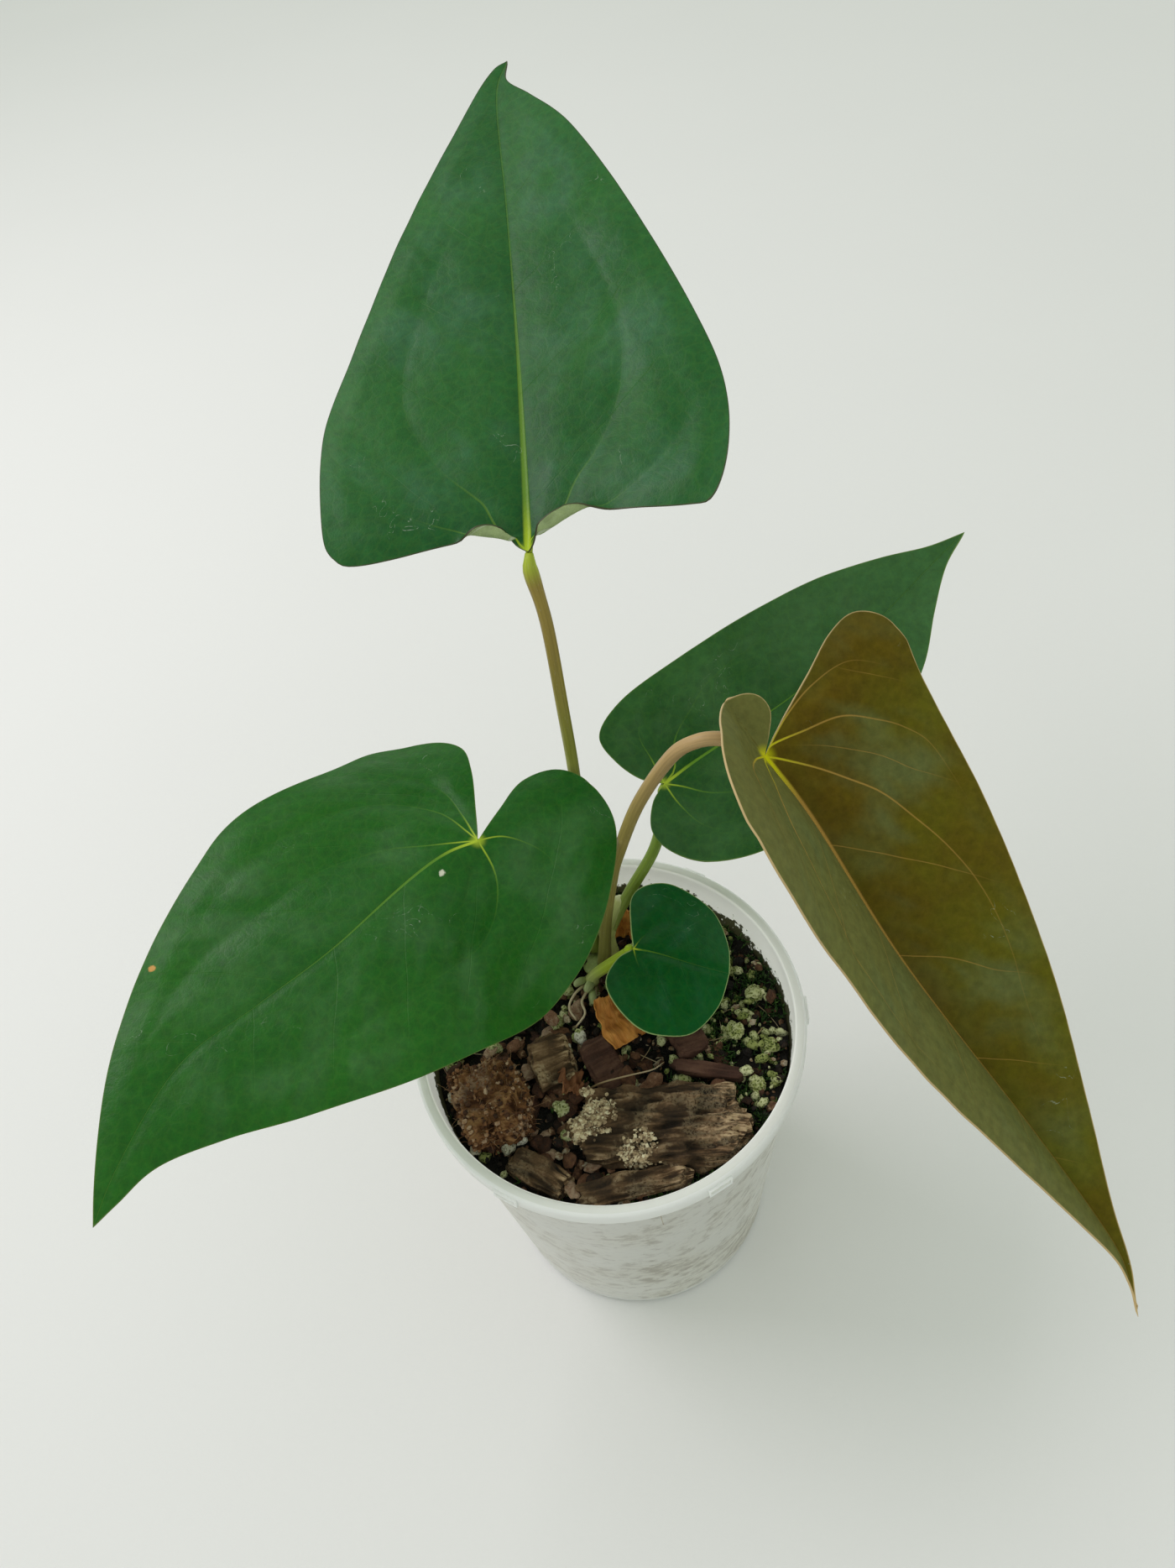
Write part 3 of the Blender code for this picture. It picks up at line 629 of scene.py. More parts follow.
def add_tuft(bm, place):
    """A tuft of thin pointed leaflets that lean every way."""
    tone = bm.verts.layers.float["tone"]
    base = Vector((*place, mix_height(*place) + draw.uniform(-0.2, 1.6)))
    shade = draw.random()
    for _ in range(MOSS_LEAFLETS):
        tall = draw.uniform(*MOSS_HEIGHT)
        lean = (Matrix.Rotation(draw.uniform(0, math.tau), 4, "Z")
                @ Matrix.Rotation(draw.uniform(*MOSS_LEAN), 4, "X"))
        place = Matrix.Translation(base * MM) @ lean @ Matrix.Translation((0, 0, tall / 2 * MM))
        made = bmesh.ops.create_cone(bm, cap_ends=True, segments=3, radius1=MOSS_WIDTH * MM,
                                     radius2=0.05 * MM, depth=tall * MM, matrix=place)["verts"]
        for vertex in made:
            vertex[tone] = 0.7 * shade + 0.3 * draw.random()


moss = add_piece("moss_tufts", gather(places, add_tuft),
                 build_grit_material("moss", MOSS_COLOURS, 700, 0.05 * MM, 0.7))
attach(moss, "root")


# ------------------------------------------------------------------ leaves
# Heart-shaped blades half a millimetre thick, leathery and satin above and paler
# below.  The midrib and the main veins lie in grooves and the skin swells between
# them; every blade grows from a round stalk that thickens where it meets the blade.
BLADE_THICKNESS = 0.45 * MM
BLADE_SHARPNESS = 55            # degrees, above which an edge of the blade looks sharp
BASE_FOLD_REACH = 25            # mm from the sinus over which the base's own fold fades
MIDRIB_STEPS = 400
OUTLINE_STEPS = 1200
CROWDING = 1.25                 # rows are close together at the sinus, columns at the midrib
LOBE_CORNER = 4                 # the outline's point where its run along the sinus ends
ROW_LENGTH = 1.05               # mm of the blade for each row of its grid
HALF_COLUMNS = 44
MIDRIB_GROOVE = 0.42            # depths in mm at the sinus
VEIN_GROOVE = 0.30
CREASE_ROUNDING = 1.5           # mm, behind the sinus
CUFF_WIDTH = 5.2                # mm of base margin that rolls up on both sides of the sinus
CUFF_RADIUS = 1.2
CUFF_TURN = 2.3                 # radians
CUFF_PLACE = 10                 # mm from the sinus to the middle of each rolled stretch
CUFF_SPREAD = (5.6, 9.5)        # at the left and at the right
QUILT = 0.75                    # mm that the skin swells between veins
WAVES = 0.85                    # mm that it rises and falls in slow waves
MARGIN_FLAT = 6                 # mm from the margin over which the swelling dies away
LATERAL_BOW = 0.006             # how the side veins curve towards the tip, for each mm
LATERAL_SHIFT = 0.42            # share of a spacing between the two halves' side veins
MAIN_VEINS = 8                  # most main veins that a blade has
LOBE = 100                      # the blade's own measures are kept in these many mm

# Each leaf in mm and degrees.  A blade runs from its sinus, where the stalk meets it,
# along heading and pitch; turn, bend and twist are their change and the roll's over
# 100 mm.  fold lifts both halves into a V, base_fold does so near the sinus only, and
# curl bends each half over 100 mm of its width.  fan is the share of the rows that
# spring from the sinus, and cuff is how much of the margins' roll beside the sinus it has.
# Outlines and veins are (across, along); left is at minus.  laterals gives the side
# veins' spacing, their rise and how far the skin swells between them.  clearance keeps
# the end of a stalk under a steeply folded blade.
LEAVES = {
    "leaf_tall": {
        "sinus": (1.6, 65.9, 230),
        "heading": 82.9, "turn": 1.8, "pitch": 25, "bend": -5.2, "roll": 6.8, "twist": 1.0,
        "fold": 4.2, "base_fold": 7.2, "curl": 0, "fan": 0, "cuff": 1,
        "left": [(0, 0), (-8, 4), (-18, 3), (-40, -1), (-47, 1), (-50, 10), (-51, 38),
                 (-44, 60), (-32, 93), (-20, 120), (-8, 143), (-1.5, 153), (3, 156)],
        "right": [(0, 0), (8, 5), (18, 6), (40, 2), (47, 3), (51, 15), (51, 34),
                  (45, 57), (31, 96), (19, 124), (9, 139), (2.5, 148), (3, 156)],
        "midrib": [(0, 0), (0, 50), (-0.5, 100), (-1, 142), (3, 156)],
        "veins": [[(0, 0), (-2, 2), (-6, 9), (-13, 16), (-20, 23), (-25, 31), (-29, 40),
                   (-30, 50), (-28, 62), (-23, 78), (-16, 96)],
                  [(0, 0), (1, 3), (6, 8), (12, 15), (18, 22), (23, 31), (26, 41),
                   (27, 52), (25, 66), (20, 82), (14, 98)],
                  [(0, 0), (8, 4), (20, 7), (30, 12), (39, 20), (43, 30)],
                  [(0, 0), (-9, 4), (-22, 8), (-33, 14), (-41, 23)]],
        "laterals": (30, 0.62, 0.35), "vein_width": 0.42,
        "stalk": [(-0.5, 29.5, 106), (1.2, 39, 129), (2.8, 50.6, 160), (3.0, 55.4, 185),
                  (2.9, 60.3, 210.5), (1.4, 64, 225), (1.6, 65.6, 228.2)],
        "stalk_width": 3.3, "clearance": 0,
    },
    "leaf_left": {
        "sinus": (-24.6, 28.6, 170),
        "heading": 205.7, "turn": 20.3, "pitch": 5.5, "bend": -16.3, "roll": 12, "twist": 5.5,
        "fold": -2.9, "base_fold": -11.7, "curl": -13.8, "fan": 0.17, "cuff": 0,
        "left": [(0, 0), (6, -10), (11, -20), (9, -30), (0, -35), (-14, -34), (-29, -23),
                 (-41, -9), (-47, 6), (-47, 24), (-41, 52), (-29, 78), (-17, 96),
                 (-8, 110), (-5, 121), (-3, 128)],
        "right": [(0, 0), (10, -5), (23, -11), (33, -13), (42, -7), (48, 6), (46, 19),
                  (45, 43), (39, 57), (29, 77), (17, 98), (7, 113), (1, 122), (-3, 128)],
        "midrib": [(0, 0), (1, 12), (-3, 44), (-1, 68), (3, 89), (0, 114), (-3, 128)],
        "veins": [[(0, 0), (6, 1), (14, 3), (20, 7), (25, 12), (29, 20), (31, 32), (31, 46),
                   (27, 62)],
                  [(0, 0), (6, 11), (11, 19), (14, 26), (16, 33), (17, 41), (17, 52),
                   (18, 63), (18, 74), (13, 90)],
                  [(0, 0), (-8, 0), (-14, 2), (-20, 7), (-24, 14), (-25, 22), (-25, 34),
                   (-24, 48), (-20, 64), (-13, 84)],
                  [(0, 0), (-2, -6), (-7, -11), (-13, -14), (-20, -13)],
                  [(0, 0), (10, -1), (20, -1), (29, 3), (36, 12)]],
        "laterals": (24, 0.7, 0.55), "vein_width": 0.34,
        "stalk": [(-5.5, 26.5, 106), (-7.5, 26.5, 120), (-12, 26.5, 140), (-18.5, 27.2, 156),
                  (-23.4, 28.4, 164.5), (-24.6, 28.8, 167)],
        "stalk_width": 3.2, "clearance": 0,
    },
    "leaf_right": {
        "sinus": (27.8, 54.2, 148),
        "heading": 21.9, "turn": 5.6, "pitch": 9, "bend": 15.6, "roll": -18.6, "twist": -0.5,
        "fold": 3.5, "base_fold": 0.3, "curl": 0, "fan": 0.1, "cuff": 0,
        "left": [(0, 0), (-5, -5), (-13, -8), (-22, -8), (-27, 0), (-29, 14), (-28, 38),
                 (-25, 58), (-20, 76), (-12, 92), (-4, 104), (1, 114)],
        "right": [(0, 0), (3, -6), (10, -11), (18, -10), (26, -4), (32, 8), (34, 22),
                  (32, 45), (27, 62), (20, 78), (11, 91), (4, 103), (1, 114)],
        "midrib": [(0, 0), (-0.5, 16), (1.5, 55), (0.5, 98), (1, 114)],
        "veins": [[(0, 0), (-2, 5), (-8, 9), (-11, 13), (-14, 20), (-17, 27), (-18, 34),
                   (-18, 42), (-16, 56), (-11, 72)],
                  [(0, 0), (-8, 1), (-16, 2), (-22, 8)],
                  [(0, 0), (4, 4), (10, 9), (15, 17), (18, 27), (19, 38), (17, 54), (12, 70)],
                  [(0, 0), (8, 0), (17, 2), (24, 8)]],
        "laterals": (20, 0.7, 0.5), "vein_width": 0.34,
        "stalk": [(4.6, 27.8, 106), (4.8, 29.4, 113), (7.8, 31.6, 118.6), (13.2, 35.2, 125.6),
                  (21.6, 42, 133.4), (26.2, 50, 139), (27.6, 53.8, 144.8)],
        "stalk_width": 3.4, "clearance": 0,
    },
    "leaf_young": {
        "sinus": (47.8, 15, 200),
        "heading": -51.2, "turn": -7.3, "pitch": -47, "bend": 13, "roll": 16.1, "twist": -7.2,
        "fold": 28.7, "base_fold": 1.1, "curl": 0, "fan": 0.12, "cuff": 0,
        "left": [(0, 0), (-9, -4), (-20, -8.4), (-31, -13), (-40, -13), (-46, -5), (-44, 10),
                 (-40, 36), (-33, 64), (-25, 91), (-15, 116), (-6, 137), (-1, 150), (5.5, 160)],
        "right": [(0, 0), (-4.5, -3.5), (-8, -8), (-7, -13), (-1, -16), (14, -17), (32, -15),
                  (42, -8), (47, 6), (45, 24), (38, 45), (30, 73), (20, 101), (9, 130),
                  (3, 146), (2.5, 154), (5.5, 160)],
        "midrib": [(0, 0), (-1.5, 20), (1, 60), (-1, 110), (-1, 142), (1.7, 153), (5.5, 160)],
        "veins": [[(0, 0), (-3, -1), (-11, 1), (-21, 4), (-28, 10), (-33, 16), (-36, 24),
                   (-35, 40)],
                  [(0, 0), (-2, 2), (-9, 10), (-14, 17), (-19, 25), (-22, 35), (-24, 44),
                   (-25, 55), (-24, 65), (-21, 77), (-16, 91), (-12, 108)],
                  [(0, 0), (4, 1), (13, 8), (19, 17), (22, 26), (24, 36), (27, 47), (26, 62),
                   (22, 78), (16, 98)],
                  [(0, 0), (9, -3), (19, -3), (29, 3), (36, 13)],
                  [(0, 0), (-10, -4), (-20, -6), (-31, -5), (-38, 2)]],
        "laterals": (31, 0.85, 0.7), "vein_width": 0.36,
        "stalk": [(1.8, 24.2, 106), (4.4, 27, 124), (8.4, 28.4, 144), (11.2, 28, 155),
                  (17.7, 25.2, 177.5), (26.5, 21.2, 198.2), (32.6, 19, 204.8),
                  (38.6, 17.6, 205.9), (43.4, 17, 203.2), (45.1, 16.7, 198.9)],
        "stalk_width": 3.5, "clearance": 0.5,
    },
    "leaf_small": {
        "sinus": (10.7, 13.9, 128),
        "heading": -16.1, "turn": 0, "pitch": -18.7, "bend": -13, "roll": -10.5, "twist": 0,
        "fold": -10.2, "base_fold": 8.9, "curl": 0, "fan": 0.1, "cuff": 0,
        "left": [(0, 0), (-7, -2), (-15, -3), (-20, 1), (-22, 9), (-18, 21), (-9, 27),
                 (0, 28.5)],
        "right": [(0, 0), (4, -4), (11, -6), (17, -2), (21.5, 5), (22, 12), (19, 21),
                  (10, 27), (0, 28.5)],
        "midrib": [(0, 0), (-0.5, 7), (0, 18), (0, 28.5)],
        "veins": [[(0, 0), (-4, 2), (-9, 6), (-11, 12), (-9, 19)],
                  [(0, 0), (4, 2), (9, 6), (11, 12), (9, 19)]],
        "laterals": (9, 0.6, 0.25), "vein_width": 0.26,
        "stalk": [(-2.6, 19.2, 106), (-1.2, 18.6, 110), (4.2, 16.8, 117.6), (9.2, 14.6, 125.2)],
        "stalk_width": 3.4, "clearance": 0,
    },
}

# Looks of each blade.  Colours: near the sinus and far from it, the painted satin sheen,
# veins, the star at the sinus, the margin and the underside.  Numbers: how far the bright
# veins reach (in 100 mm), the shares of the side veins and of the laterals, the midrib's
# half width (mm), roughness and gloss.  The left leaf has an orange spot and a white one, at
# (across, along) in 100 mm.  The young leaf's right half is painted paler, a sheen of its own.
BLADE_LOOKS = {
    "leaf_tall": {"near": (0.001, 0.062, 0.009), "far": (0.020, 0.124, 0.020),
                  "sheen": (0.032, 0.118, 0.052),
                  "vein": (0.13, 0.25, 0.020), "star": (0.38, 0.50, 0.02),
                  "margin": (0.05, 0.055, 0.020), "under": (0.30, 0.38, 0.17),
                  "vein_reach": 1.15, "side_veins": 0.08, "laterals": 0.05,
                  "midrib": 1.1, "roughness": 0.40, "gloss": 0.20},
    "leaf_left": {"near": (0.004, 0.078, 0.004), "far": (0.012, 0.112, 0.004),
                  "sheen": (0.038, 0.122, 0.034),
                  "vein": (0.11, 0.25, 0.020), "star": (0.40, 0.52, 0.03),
                  "margin": (0.10, 0.16, 0.03), "under": (0.22, 0.34, 0.14),
                  "vein_reach": 0.75, "side_veins": 0.12, "laterals": 0.05,
                  "midrib": 0.52, "roughness": 0.36, "gloss": 0.20,
                  "orange_spot": (0.243, 0.78, 0), "white_spot": (-0.04, 0.125, 0)},
    "leaf_right": {"near": (0.001, 0.054, 0.002), "far": (0.062, 0.178, 0.054),
                   "sheen": (0.046, 0.125, 0.040),
                   "vein": (0.13, 0.29, 0.018), "star": (0.38, 0.50, 0.03),
                   "margin": (0.16, 0.25, 0.05), "under": (0.22, 0.34, 0.14),
                   "vein_reach": 0.8, "side_veins": 0.16, "laterals": 0.06,
                   "midrib": 0.55, "roughness": 0.38, "gloss": 0.20},
    "leaf_young": {"near": (0.092, 0.050, 0.001), "far": (0.104, 0.116, 0.006),
                   "half": (0.150, 0.160, 0.046), "sheen": (0.115, 0.142, 0.048),
                   "vein": (0.46, 0.27, 0.06), "star": (0.60, 0.58, 0.004),
                   "margin": (0.55, 0.40, 0.19), "under": (0.25, 0.24, 0.12),
                   "vein_reach": 1.4, "half_sheen_share": 0.8, "side_veins": 0.85,
                   "laterals": 0.45, "midrib": 0.9, "net": 0.2, "roughness": 0.50, "gloss": 0.07},
    "leaf_small": {"near": (0.000, 0.076, 0.011), "far": (0.002, 0.102, 0.018),
                   "sheen": (0.020, 0.115, 0.050),
                   "vein": (0.09, 0.22, 0.015), "star": (0.45, 0.56, 0.03),
                   "margin": (0.42, 0.55, 0.22), "under": (0.22, 0.34, 0.14),
                   "vein_reach": 0.35, "side_veins": 0.03, "laterals": 0.03,
                   "midrib": 0.32, "roughness": 0.28, "gloss": 0.20},
}
NO_SPOT = (9, 9, 0)             # a place outside every blade
COMMON_LOOKS = {"half": (0, 0, 0), "half_sheen_share": 0, "net": 0.5, "scuffs": 0.5,
                "sheen_share": 0.75, "orange_spot": NO_SPOT, "white_spot": NO_SPOT}
UNDER_LOOKS = {"half_sheen_share": 0, "net": 0.8, "scuffs": 0, "sheen_share": 0.4, "gloss": 0.2,
               "roughness": 0.6, "orange_spot": NO_SPOT, "white_spot": NO_SPOT}
SKIN_COLOURS = ("Near", "Far", "Half", "Sheen", "Vein", "Star", "Margin")
SKIN_NUMBERS = ("Vein Reach", "Side Veins", "Laterals", "Half Sheen Share", "Sheen Share", "Net",
                "Scuffs", "Roughness")
SKIN_SPOTS = ("Orange Spot", "White Spot")
SCUFF_COLOUR = (0.45, 0.52, 0.42)
ORANGE_SPOT_COLOUR = (0.62, 0.30, 0.07)
WHITE_SPOT_COLOUR = (0.75, 0.74, 0.60)


def smooth_path(points, count):
    """count points along a Catmull-Rom curve through the given ones, evenly spaced."""
    points = [np.array(point, float) for point in points]
    ends = [2 * points[0] - points[1]] + points + [2 * points[-1] - points[-2]]
    fine = []
    for a, b, c, d in zip(ends, ends[1:], ends[2:], ends[3:]):
        for t in np.arange(0, 1, 1 / 12):
            fine.append(0.5 * (2 * b + (c - a) * t + (2 * a - 5 * b + 4 * c - d) * t * t
                               + (3 * b - a - 3 * c + d) * t ** 3))
    fine = np.array(fine + [points[-1]])
    lengths = np.append(0, np.cumsum(np.linalg.norm(np.diff(fine, axis=0), axis=1)))
    wanted = np.linspace(0, lengths[-1], count)
    return np.stack([np.interp(wanted, lengths, column) for column in fine.T], axis=1)


def blade_axes(leaf, along):
    """Directions along, across and out of the upper face, for an array of places (mm)."""
    grown = np.maximum(along, 0) / 100
    heading = np.radians(leaf["heading"] + leaf["turn"] * grown)
    pitch = np.radians(leaf["pitch"] + leaf["bend"] * grown)
    roll = np.radians(leaf["roll"] + leaf["twist"] * along / 100)[:, None]
    forward = np.stack([np.cos(heading) * np.cos(pitch), np.sin(heading) * np.cos(pitch),
                        np.sin(pitch)], axis=1)
    level = np.stack([np.sin(heading), -np.cos(heading), np.zeros_like(heading)], axis=1)
    upward = np.cross(level, forward)
    across = level * np.cos(roll) + upward * np.sin(roll)
    upper = upward * np.cos(roll) - level * np.sin(roll)
    return forward, across, upper


def blade_places(leaf, flat, reach, lift):
    """Bends flat points (across, along) into space; lift raises them off the upper face."""
    stations = np.arange(-60, 200.5, 0.5)
    forward, across, upper = blade_axes(leaf, stations)
    steps = (forward[1:] + forward[:-1]) / 2 * 0.5
    spine = np.vstack([np.zeros(3), np.cumsum(steps, axis=0)])
    spine += np.array(leaf["sinus"]) - spine[np.searchsorted(stations, 0)]

    def at(rows):
        """The spine's own values at the row of each point."""
        return np.stack([np.interp(flat[:, 1], stations, part) for part in rows.T], axis=1)

    near_base = np.exp(-(flat[:, 1] / BASE_FOLD_REACH) ** 2)
    fold = leaf["fold"] + leaf["base_fold"] * near_base + leaf["curl"] * abs(reach) / 200
    fold = np.radians(fold)
    lean = np.sin(fold) * np.clip(reach / 3, -1, 1)
    round_ = CREASE_ROUNDING * np.clip(-flat[:, 1] / 4, 0, 1)
    flat_part = flat[:, 0] - reach + reach * np.cos(fold) - lift * lean
    up_part = (np.hypot(reach, round_) - round_) * np.sin(fold) + lift * np.cos(fold)
    return at(spine) + flat_part[:, None] * at(across) + up_part[:, None] * at(upper)


def vein_measures(flat, vein):
    """Signed distance (mm) of flat points from a vein, and the vein's strength there."""
    route = smooth_path(vein, 40)
    best = np.full(len(flat), 1e9)
    signed = np.zeros(len(flat))
    strength = np.zeros(len(flat))
    pieces = len(route) - 1
    for index, (start, end) in enumerate(zip(route, route[1:])):
        step = end - start
        offset = flat - start
        share = np.clip(offset @ step / (step @ step), 0, 1)
        away = offset - share[:, None] * step
        distance = np.hypot(away[:, 0], away[:, 1])
        side = np.where(step[0] * offset[:, 1] - step[1] * offset[:, 0] > 0, 1, -1)
        closer = distance < best
        best = np.where(closer, distance, best)
        signed = np.where(closer, side * distance, signed)
        gone = (index + share) / pieces
        strength = np.where(closer, 1 - gone ** 1.5, strength)
        if index == 0:
            behind = closer & (offset @ step < 0)
            strength = np.where(behind, np.exp(-distance), strength)
    return signed, strength


def groove_depth(along):
    """Depth (mm) of the midrib's groove, which grows shallow towards the tip."""
    return MIDRIB_GROOVE * np.clip(1.25 - along / 180, 0, 1)


def near_sinus(flat):
    """From 0 at the sinus to 1 a few mm away, so that all the relief starts there."""
    return np.clip(np.hypot(flat[:, 0], flat[:, 1]) / 6, 0, 1)


def relief(leaf, flat, reach, edge, veins):
    """How far the skin stands off the smooth blade: grooves, swellings and waves, in mm."""
    size = leaf["midrib"][-1][1] / 150
    spacing, rise, quilt = leaf["laterals"]
    fade_in = np.clip(edge / MARGIN_FLAT, 0, 1)
    lift = -groove_depth(flat[:, 1]) * np.exp(-(reach / 1.5) ** 2)
    closest = abs(reach)
    for signed, strength in veins:
        lift -= VEIN_GROOVE * strength * np.exp(-(signed / 1.6) ** 2)
        closest = np.minimum(closest, abs(signed) + 8 * (1 - strength))
    phase = (flat[:, 1] - rise * abs(reach) - LATERAL_BOW * reach ** 2) / spacing
    phase = phase + np.where(reach > 0, LATERAL_SHIFT, 0)
    ridge = abs((phase % 1) - 0.5) * 2
    lift += QUILT * quilt * (1 - ridge ** 2) * np.clip(abs(reach) / 10, 0, 1) * fade_in
    lift += QUILT * size * (1 - np.exp(-(closest / 7) ** 2)) * fade_in
    waves = np.array([noise.noise((x / 26, y / 34, 7.7)) + 0.35 * noise.noise((x / 9, y / 11, 1.3))
                      for x, y in flat])
    lift += WAVES * size * waves * np.clip(abs(reach) / 18, 0, 1)
    return lift * near_sinus(flat)


def cuff_roll(leaf, flat, reach, edge):
    """How far the roll of the base margins moves the skin outwards and up, in mm."""
    away = np.hypot(flat[:, 0], flat[:, 1])
    spread = np.where(reach > 0, CUFF_SPREAD[1], CUFF_SPREAD[0])
    share = leaf["cuff"] * np.exp(-((away - CUFF_PLACE) / spread) ** 4)
    share = share * (flat[:, 1] < 20) * np.clip(abs(reach) / 4, 0, 1)
    gone = np.clip(CUFF_WIDTH - edge, 0, None)
    turn = np.minimum(gone / CUFF_RADIUS, CUFF_TURN)
    flap = gone - turn * CUFF_RADIUS
    rolled = CUFF_RADIUS * (np.sin(turn) - 1) + flap * math.cos(CUFF_TURN) + edge
    eased = np.exp(-(np.clip(edge - CUFF_WIDTH, 0, None) / 9) ** 2)
    outward = np.where(gone > 0, rolled, (CUFF_WIDTH - CUFF_RADIUS) * eased)
    up = CUFF_RADIUS * (1 - np.cos(turn)) + flap * math.sin(CUFF_TURN)
    return share * outward, share * up


def stretch(route, share):
    """Points of a finely drawn route at these shares of its length."""
    wanted = share * (len(route) - 1)
    return np.stack([np.interp(wanted, range(len(route)), column) for column in route.T], axis=1)


def blade_grid(leaf, grown, column):
    """Flat places of a grid: its first row runs along the sinus, its last is the tip."""
    out = abs(column) ** CROWDING
    midrib = smooth_path(leaf["midrib"], MIDRIB_STEPS)
    risen = np.maximum(0, grown - leaf["fan"]) / (1 - leaf["fan"])
    middle = stretch(midrib, risen ** CROWDING)
    flat = middle.copy()
    for side, half in (("left", column < 0), ("right", column > 0)):
        outline = smooth_path(leaf[side], OUTLINE_STEPS)
        away = np.linalg.norm(outline - leaf[side][LOBE_CORNER], axis=1)
        corner = np.argmin(away) / (OUTLINE_STEPS - 1)
        rim = stretch(outline, corner + (1 - corner) * grown[half])
        lobe = stretch(outline, corner * out[half]) - out[half, None] * rim[0]
        lobe = lobe * (1 - grown[half, None]) ** 2
        share = out[half, None]
        flat[half] = middle[half] * (1 - share) + rim * share + lobe
    return flat


def border_distance(leaf, flat, steps):
    """Distance (mm) of flat points from the blade's outline."""
    border = np.vstack([smooth_path(leaf[side], steps) for side in ("left", "right")])
    tree = kdtree.KDTree(len(border))
    for index, point in enumerate(border):
        tree.insert((*point, 0), index)
    tree.balance()
    return np.array([tree.find((*point, 0))[2] for point in flat])


def blade_mesh(name, leaf):
    """A grid bent over both halves, its first and last rows closed at sinus and tip."""
    length = leaf["midrib"][-1][1]
    rows = round((length + 30) / ROW_LENGTH)
    bm = bmesh.new()
    bmesh.ops.create_grid(bm, x_segments=2 * HALF_COLUMNS, y_segments=rows, size=1)
    grid = np.array([vertex.co[:2] for vertex in bm.verts])
    flat = blade_grid(leaf, (grid[:, 1] + 1) / 2, grid[:, 0])
    midrib = smooth_path(leaf["midrib"], MIDRIB_STEPS)
    reach = flat[:, 0] - np.interp(flat[:, 1], midrib[:, 1], midrib[:, 0], left=0)
    sided = abs(reach) * np.sign(np.round(grid[:, 0], 4))
    edge = border_distance(leaf, flat, 6 * rows)
    veins = [vein_measures(flat, vein) for vein in leaf["veins"]]
    lift = relief(leaf, flat, reach, edge, veins)
    outward, up = cuff_roll(leaf, flat, reach, edge)
    rolled = flat - np.stack([np.zeros_like(outward), outward], axis=1)
    places = blade_places(leaf, rolled, reach, lift + up)
    measures = bm.verts.layers.float_vector.new("place")
    layers = [bm.verts.layers.float_vector.new(f"vein_{number + 1}")
              for number in range(MAIN_VEINS)]
    for index, vertex in enumerate(bm.verts):
        vertex.co = Vector(places[index]) * MM
        vertex[measures] = Vector((sided[index], flat[index][1], edge[index])) / LOBE
        for layer, (signed, strength) in zip(layers, veins):
            vertex[layer] = Vector((signed[index] / LOBE, strength[index], 0))
    bmesh.ops.remove_doubles(bm, verts=bm.verts, dist=0.02 * MM)
    bmesh.ops.recalc_face_normals(bm, faces=bm.faces)
    bm.faces.ensure_lookup_table()
    upper = Vector(blade_axes(leaf, np.zeros(1))[2][0])
    if sum(face.normal.dot(upper) * face.calc_area() for face in bm.faces) < 0:
        bmesh.ops.reverse_faces(bm, faces=bm.faces)
    return bm


def new_group(name, inputs, outputs):
    """An empty shader node group, with what comes in and what goes out."""
    group = bpy.data.node_groups.new(name, "ShaderNodeTree")
    for direction, sockets in (("INPUT", inputs), ("OUTPUT", outputs)):
        for label, kind in sockets.items():
            group.interface.new_socket(label, in_out=direction, socket_type="NodeSocket" + kind)
    source = group.nodes.new("NodeGroupInput").outputs
    drain = group.nodes.new("NodeGroupOutput").inputs
    return group, source, drain


def use_group(tree, group, values):
    """Places a group in a material; values gives each input a number, colour or output."""
    made = node(tree, "Group")
    made.node_tree = group
    for label, value in values.items():
        if isinstance(value, bpy.types.NodeSocket):
            tree.links.new(value, made.inputs[label])
        else:
            socket = made.inputs[label]
            socket.default_value = (*value, 1) if socket.type == "RGBA" else value
    return made.outputs


def mark_veins(tree, source, reach, along, from_sinus):
    """Masks of the midrib with the main veins, from 0 beside them to 1 on them."""
    grown = calc(tree, "DIVIDE", along, source["Length"])
    half = calc(tree, "MULTIPLY", source["Midrib Width"], fade(tree, grown, -0.1, 0.6, 1.2, 0.3))
    line = calc(tree, "DIVIDE", calc(tree, "ABSOLUTE", reach), half)
    veins = times(tree, fade(tree, line, 0.45, 1.0, 1, 0), fade(tree, along, -0.015, 0))
    near = fade(tree, calc(tree, "DIVIDE", from_sinus, source["Length"]), 0.01, 0.24, 0.8, 0)
    side = calc(tree, "MAXIMUM", near, source["Side Veins"])
    for number in range(MAIN_VEINS):
        signed, strength, _ = parts_of(tree, attribute(tree, f"vein_{number + 1}")["Vector"])
        width = times(tree, source["Vein Width"], calc(tree, "MULTIPLY_ADD", strength, 0.7, 0.3))
        line = calc(tree, "DIVIDE", calc(tree, "ABSOLUTE", signed), width)
        mark = times(tree, fade(tree, line, 0.3, 1.0, 1, 0), strength, side)
        veins = calc(tree, "MAXIMUM", veins, mark)
    return veins, grown


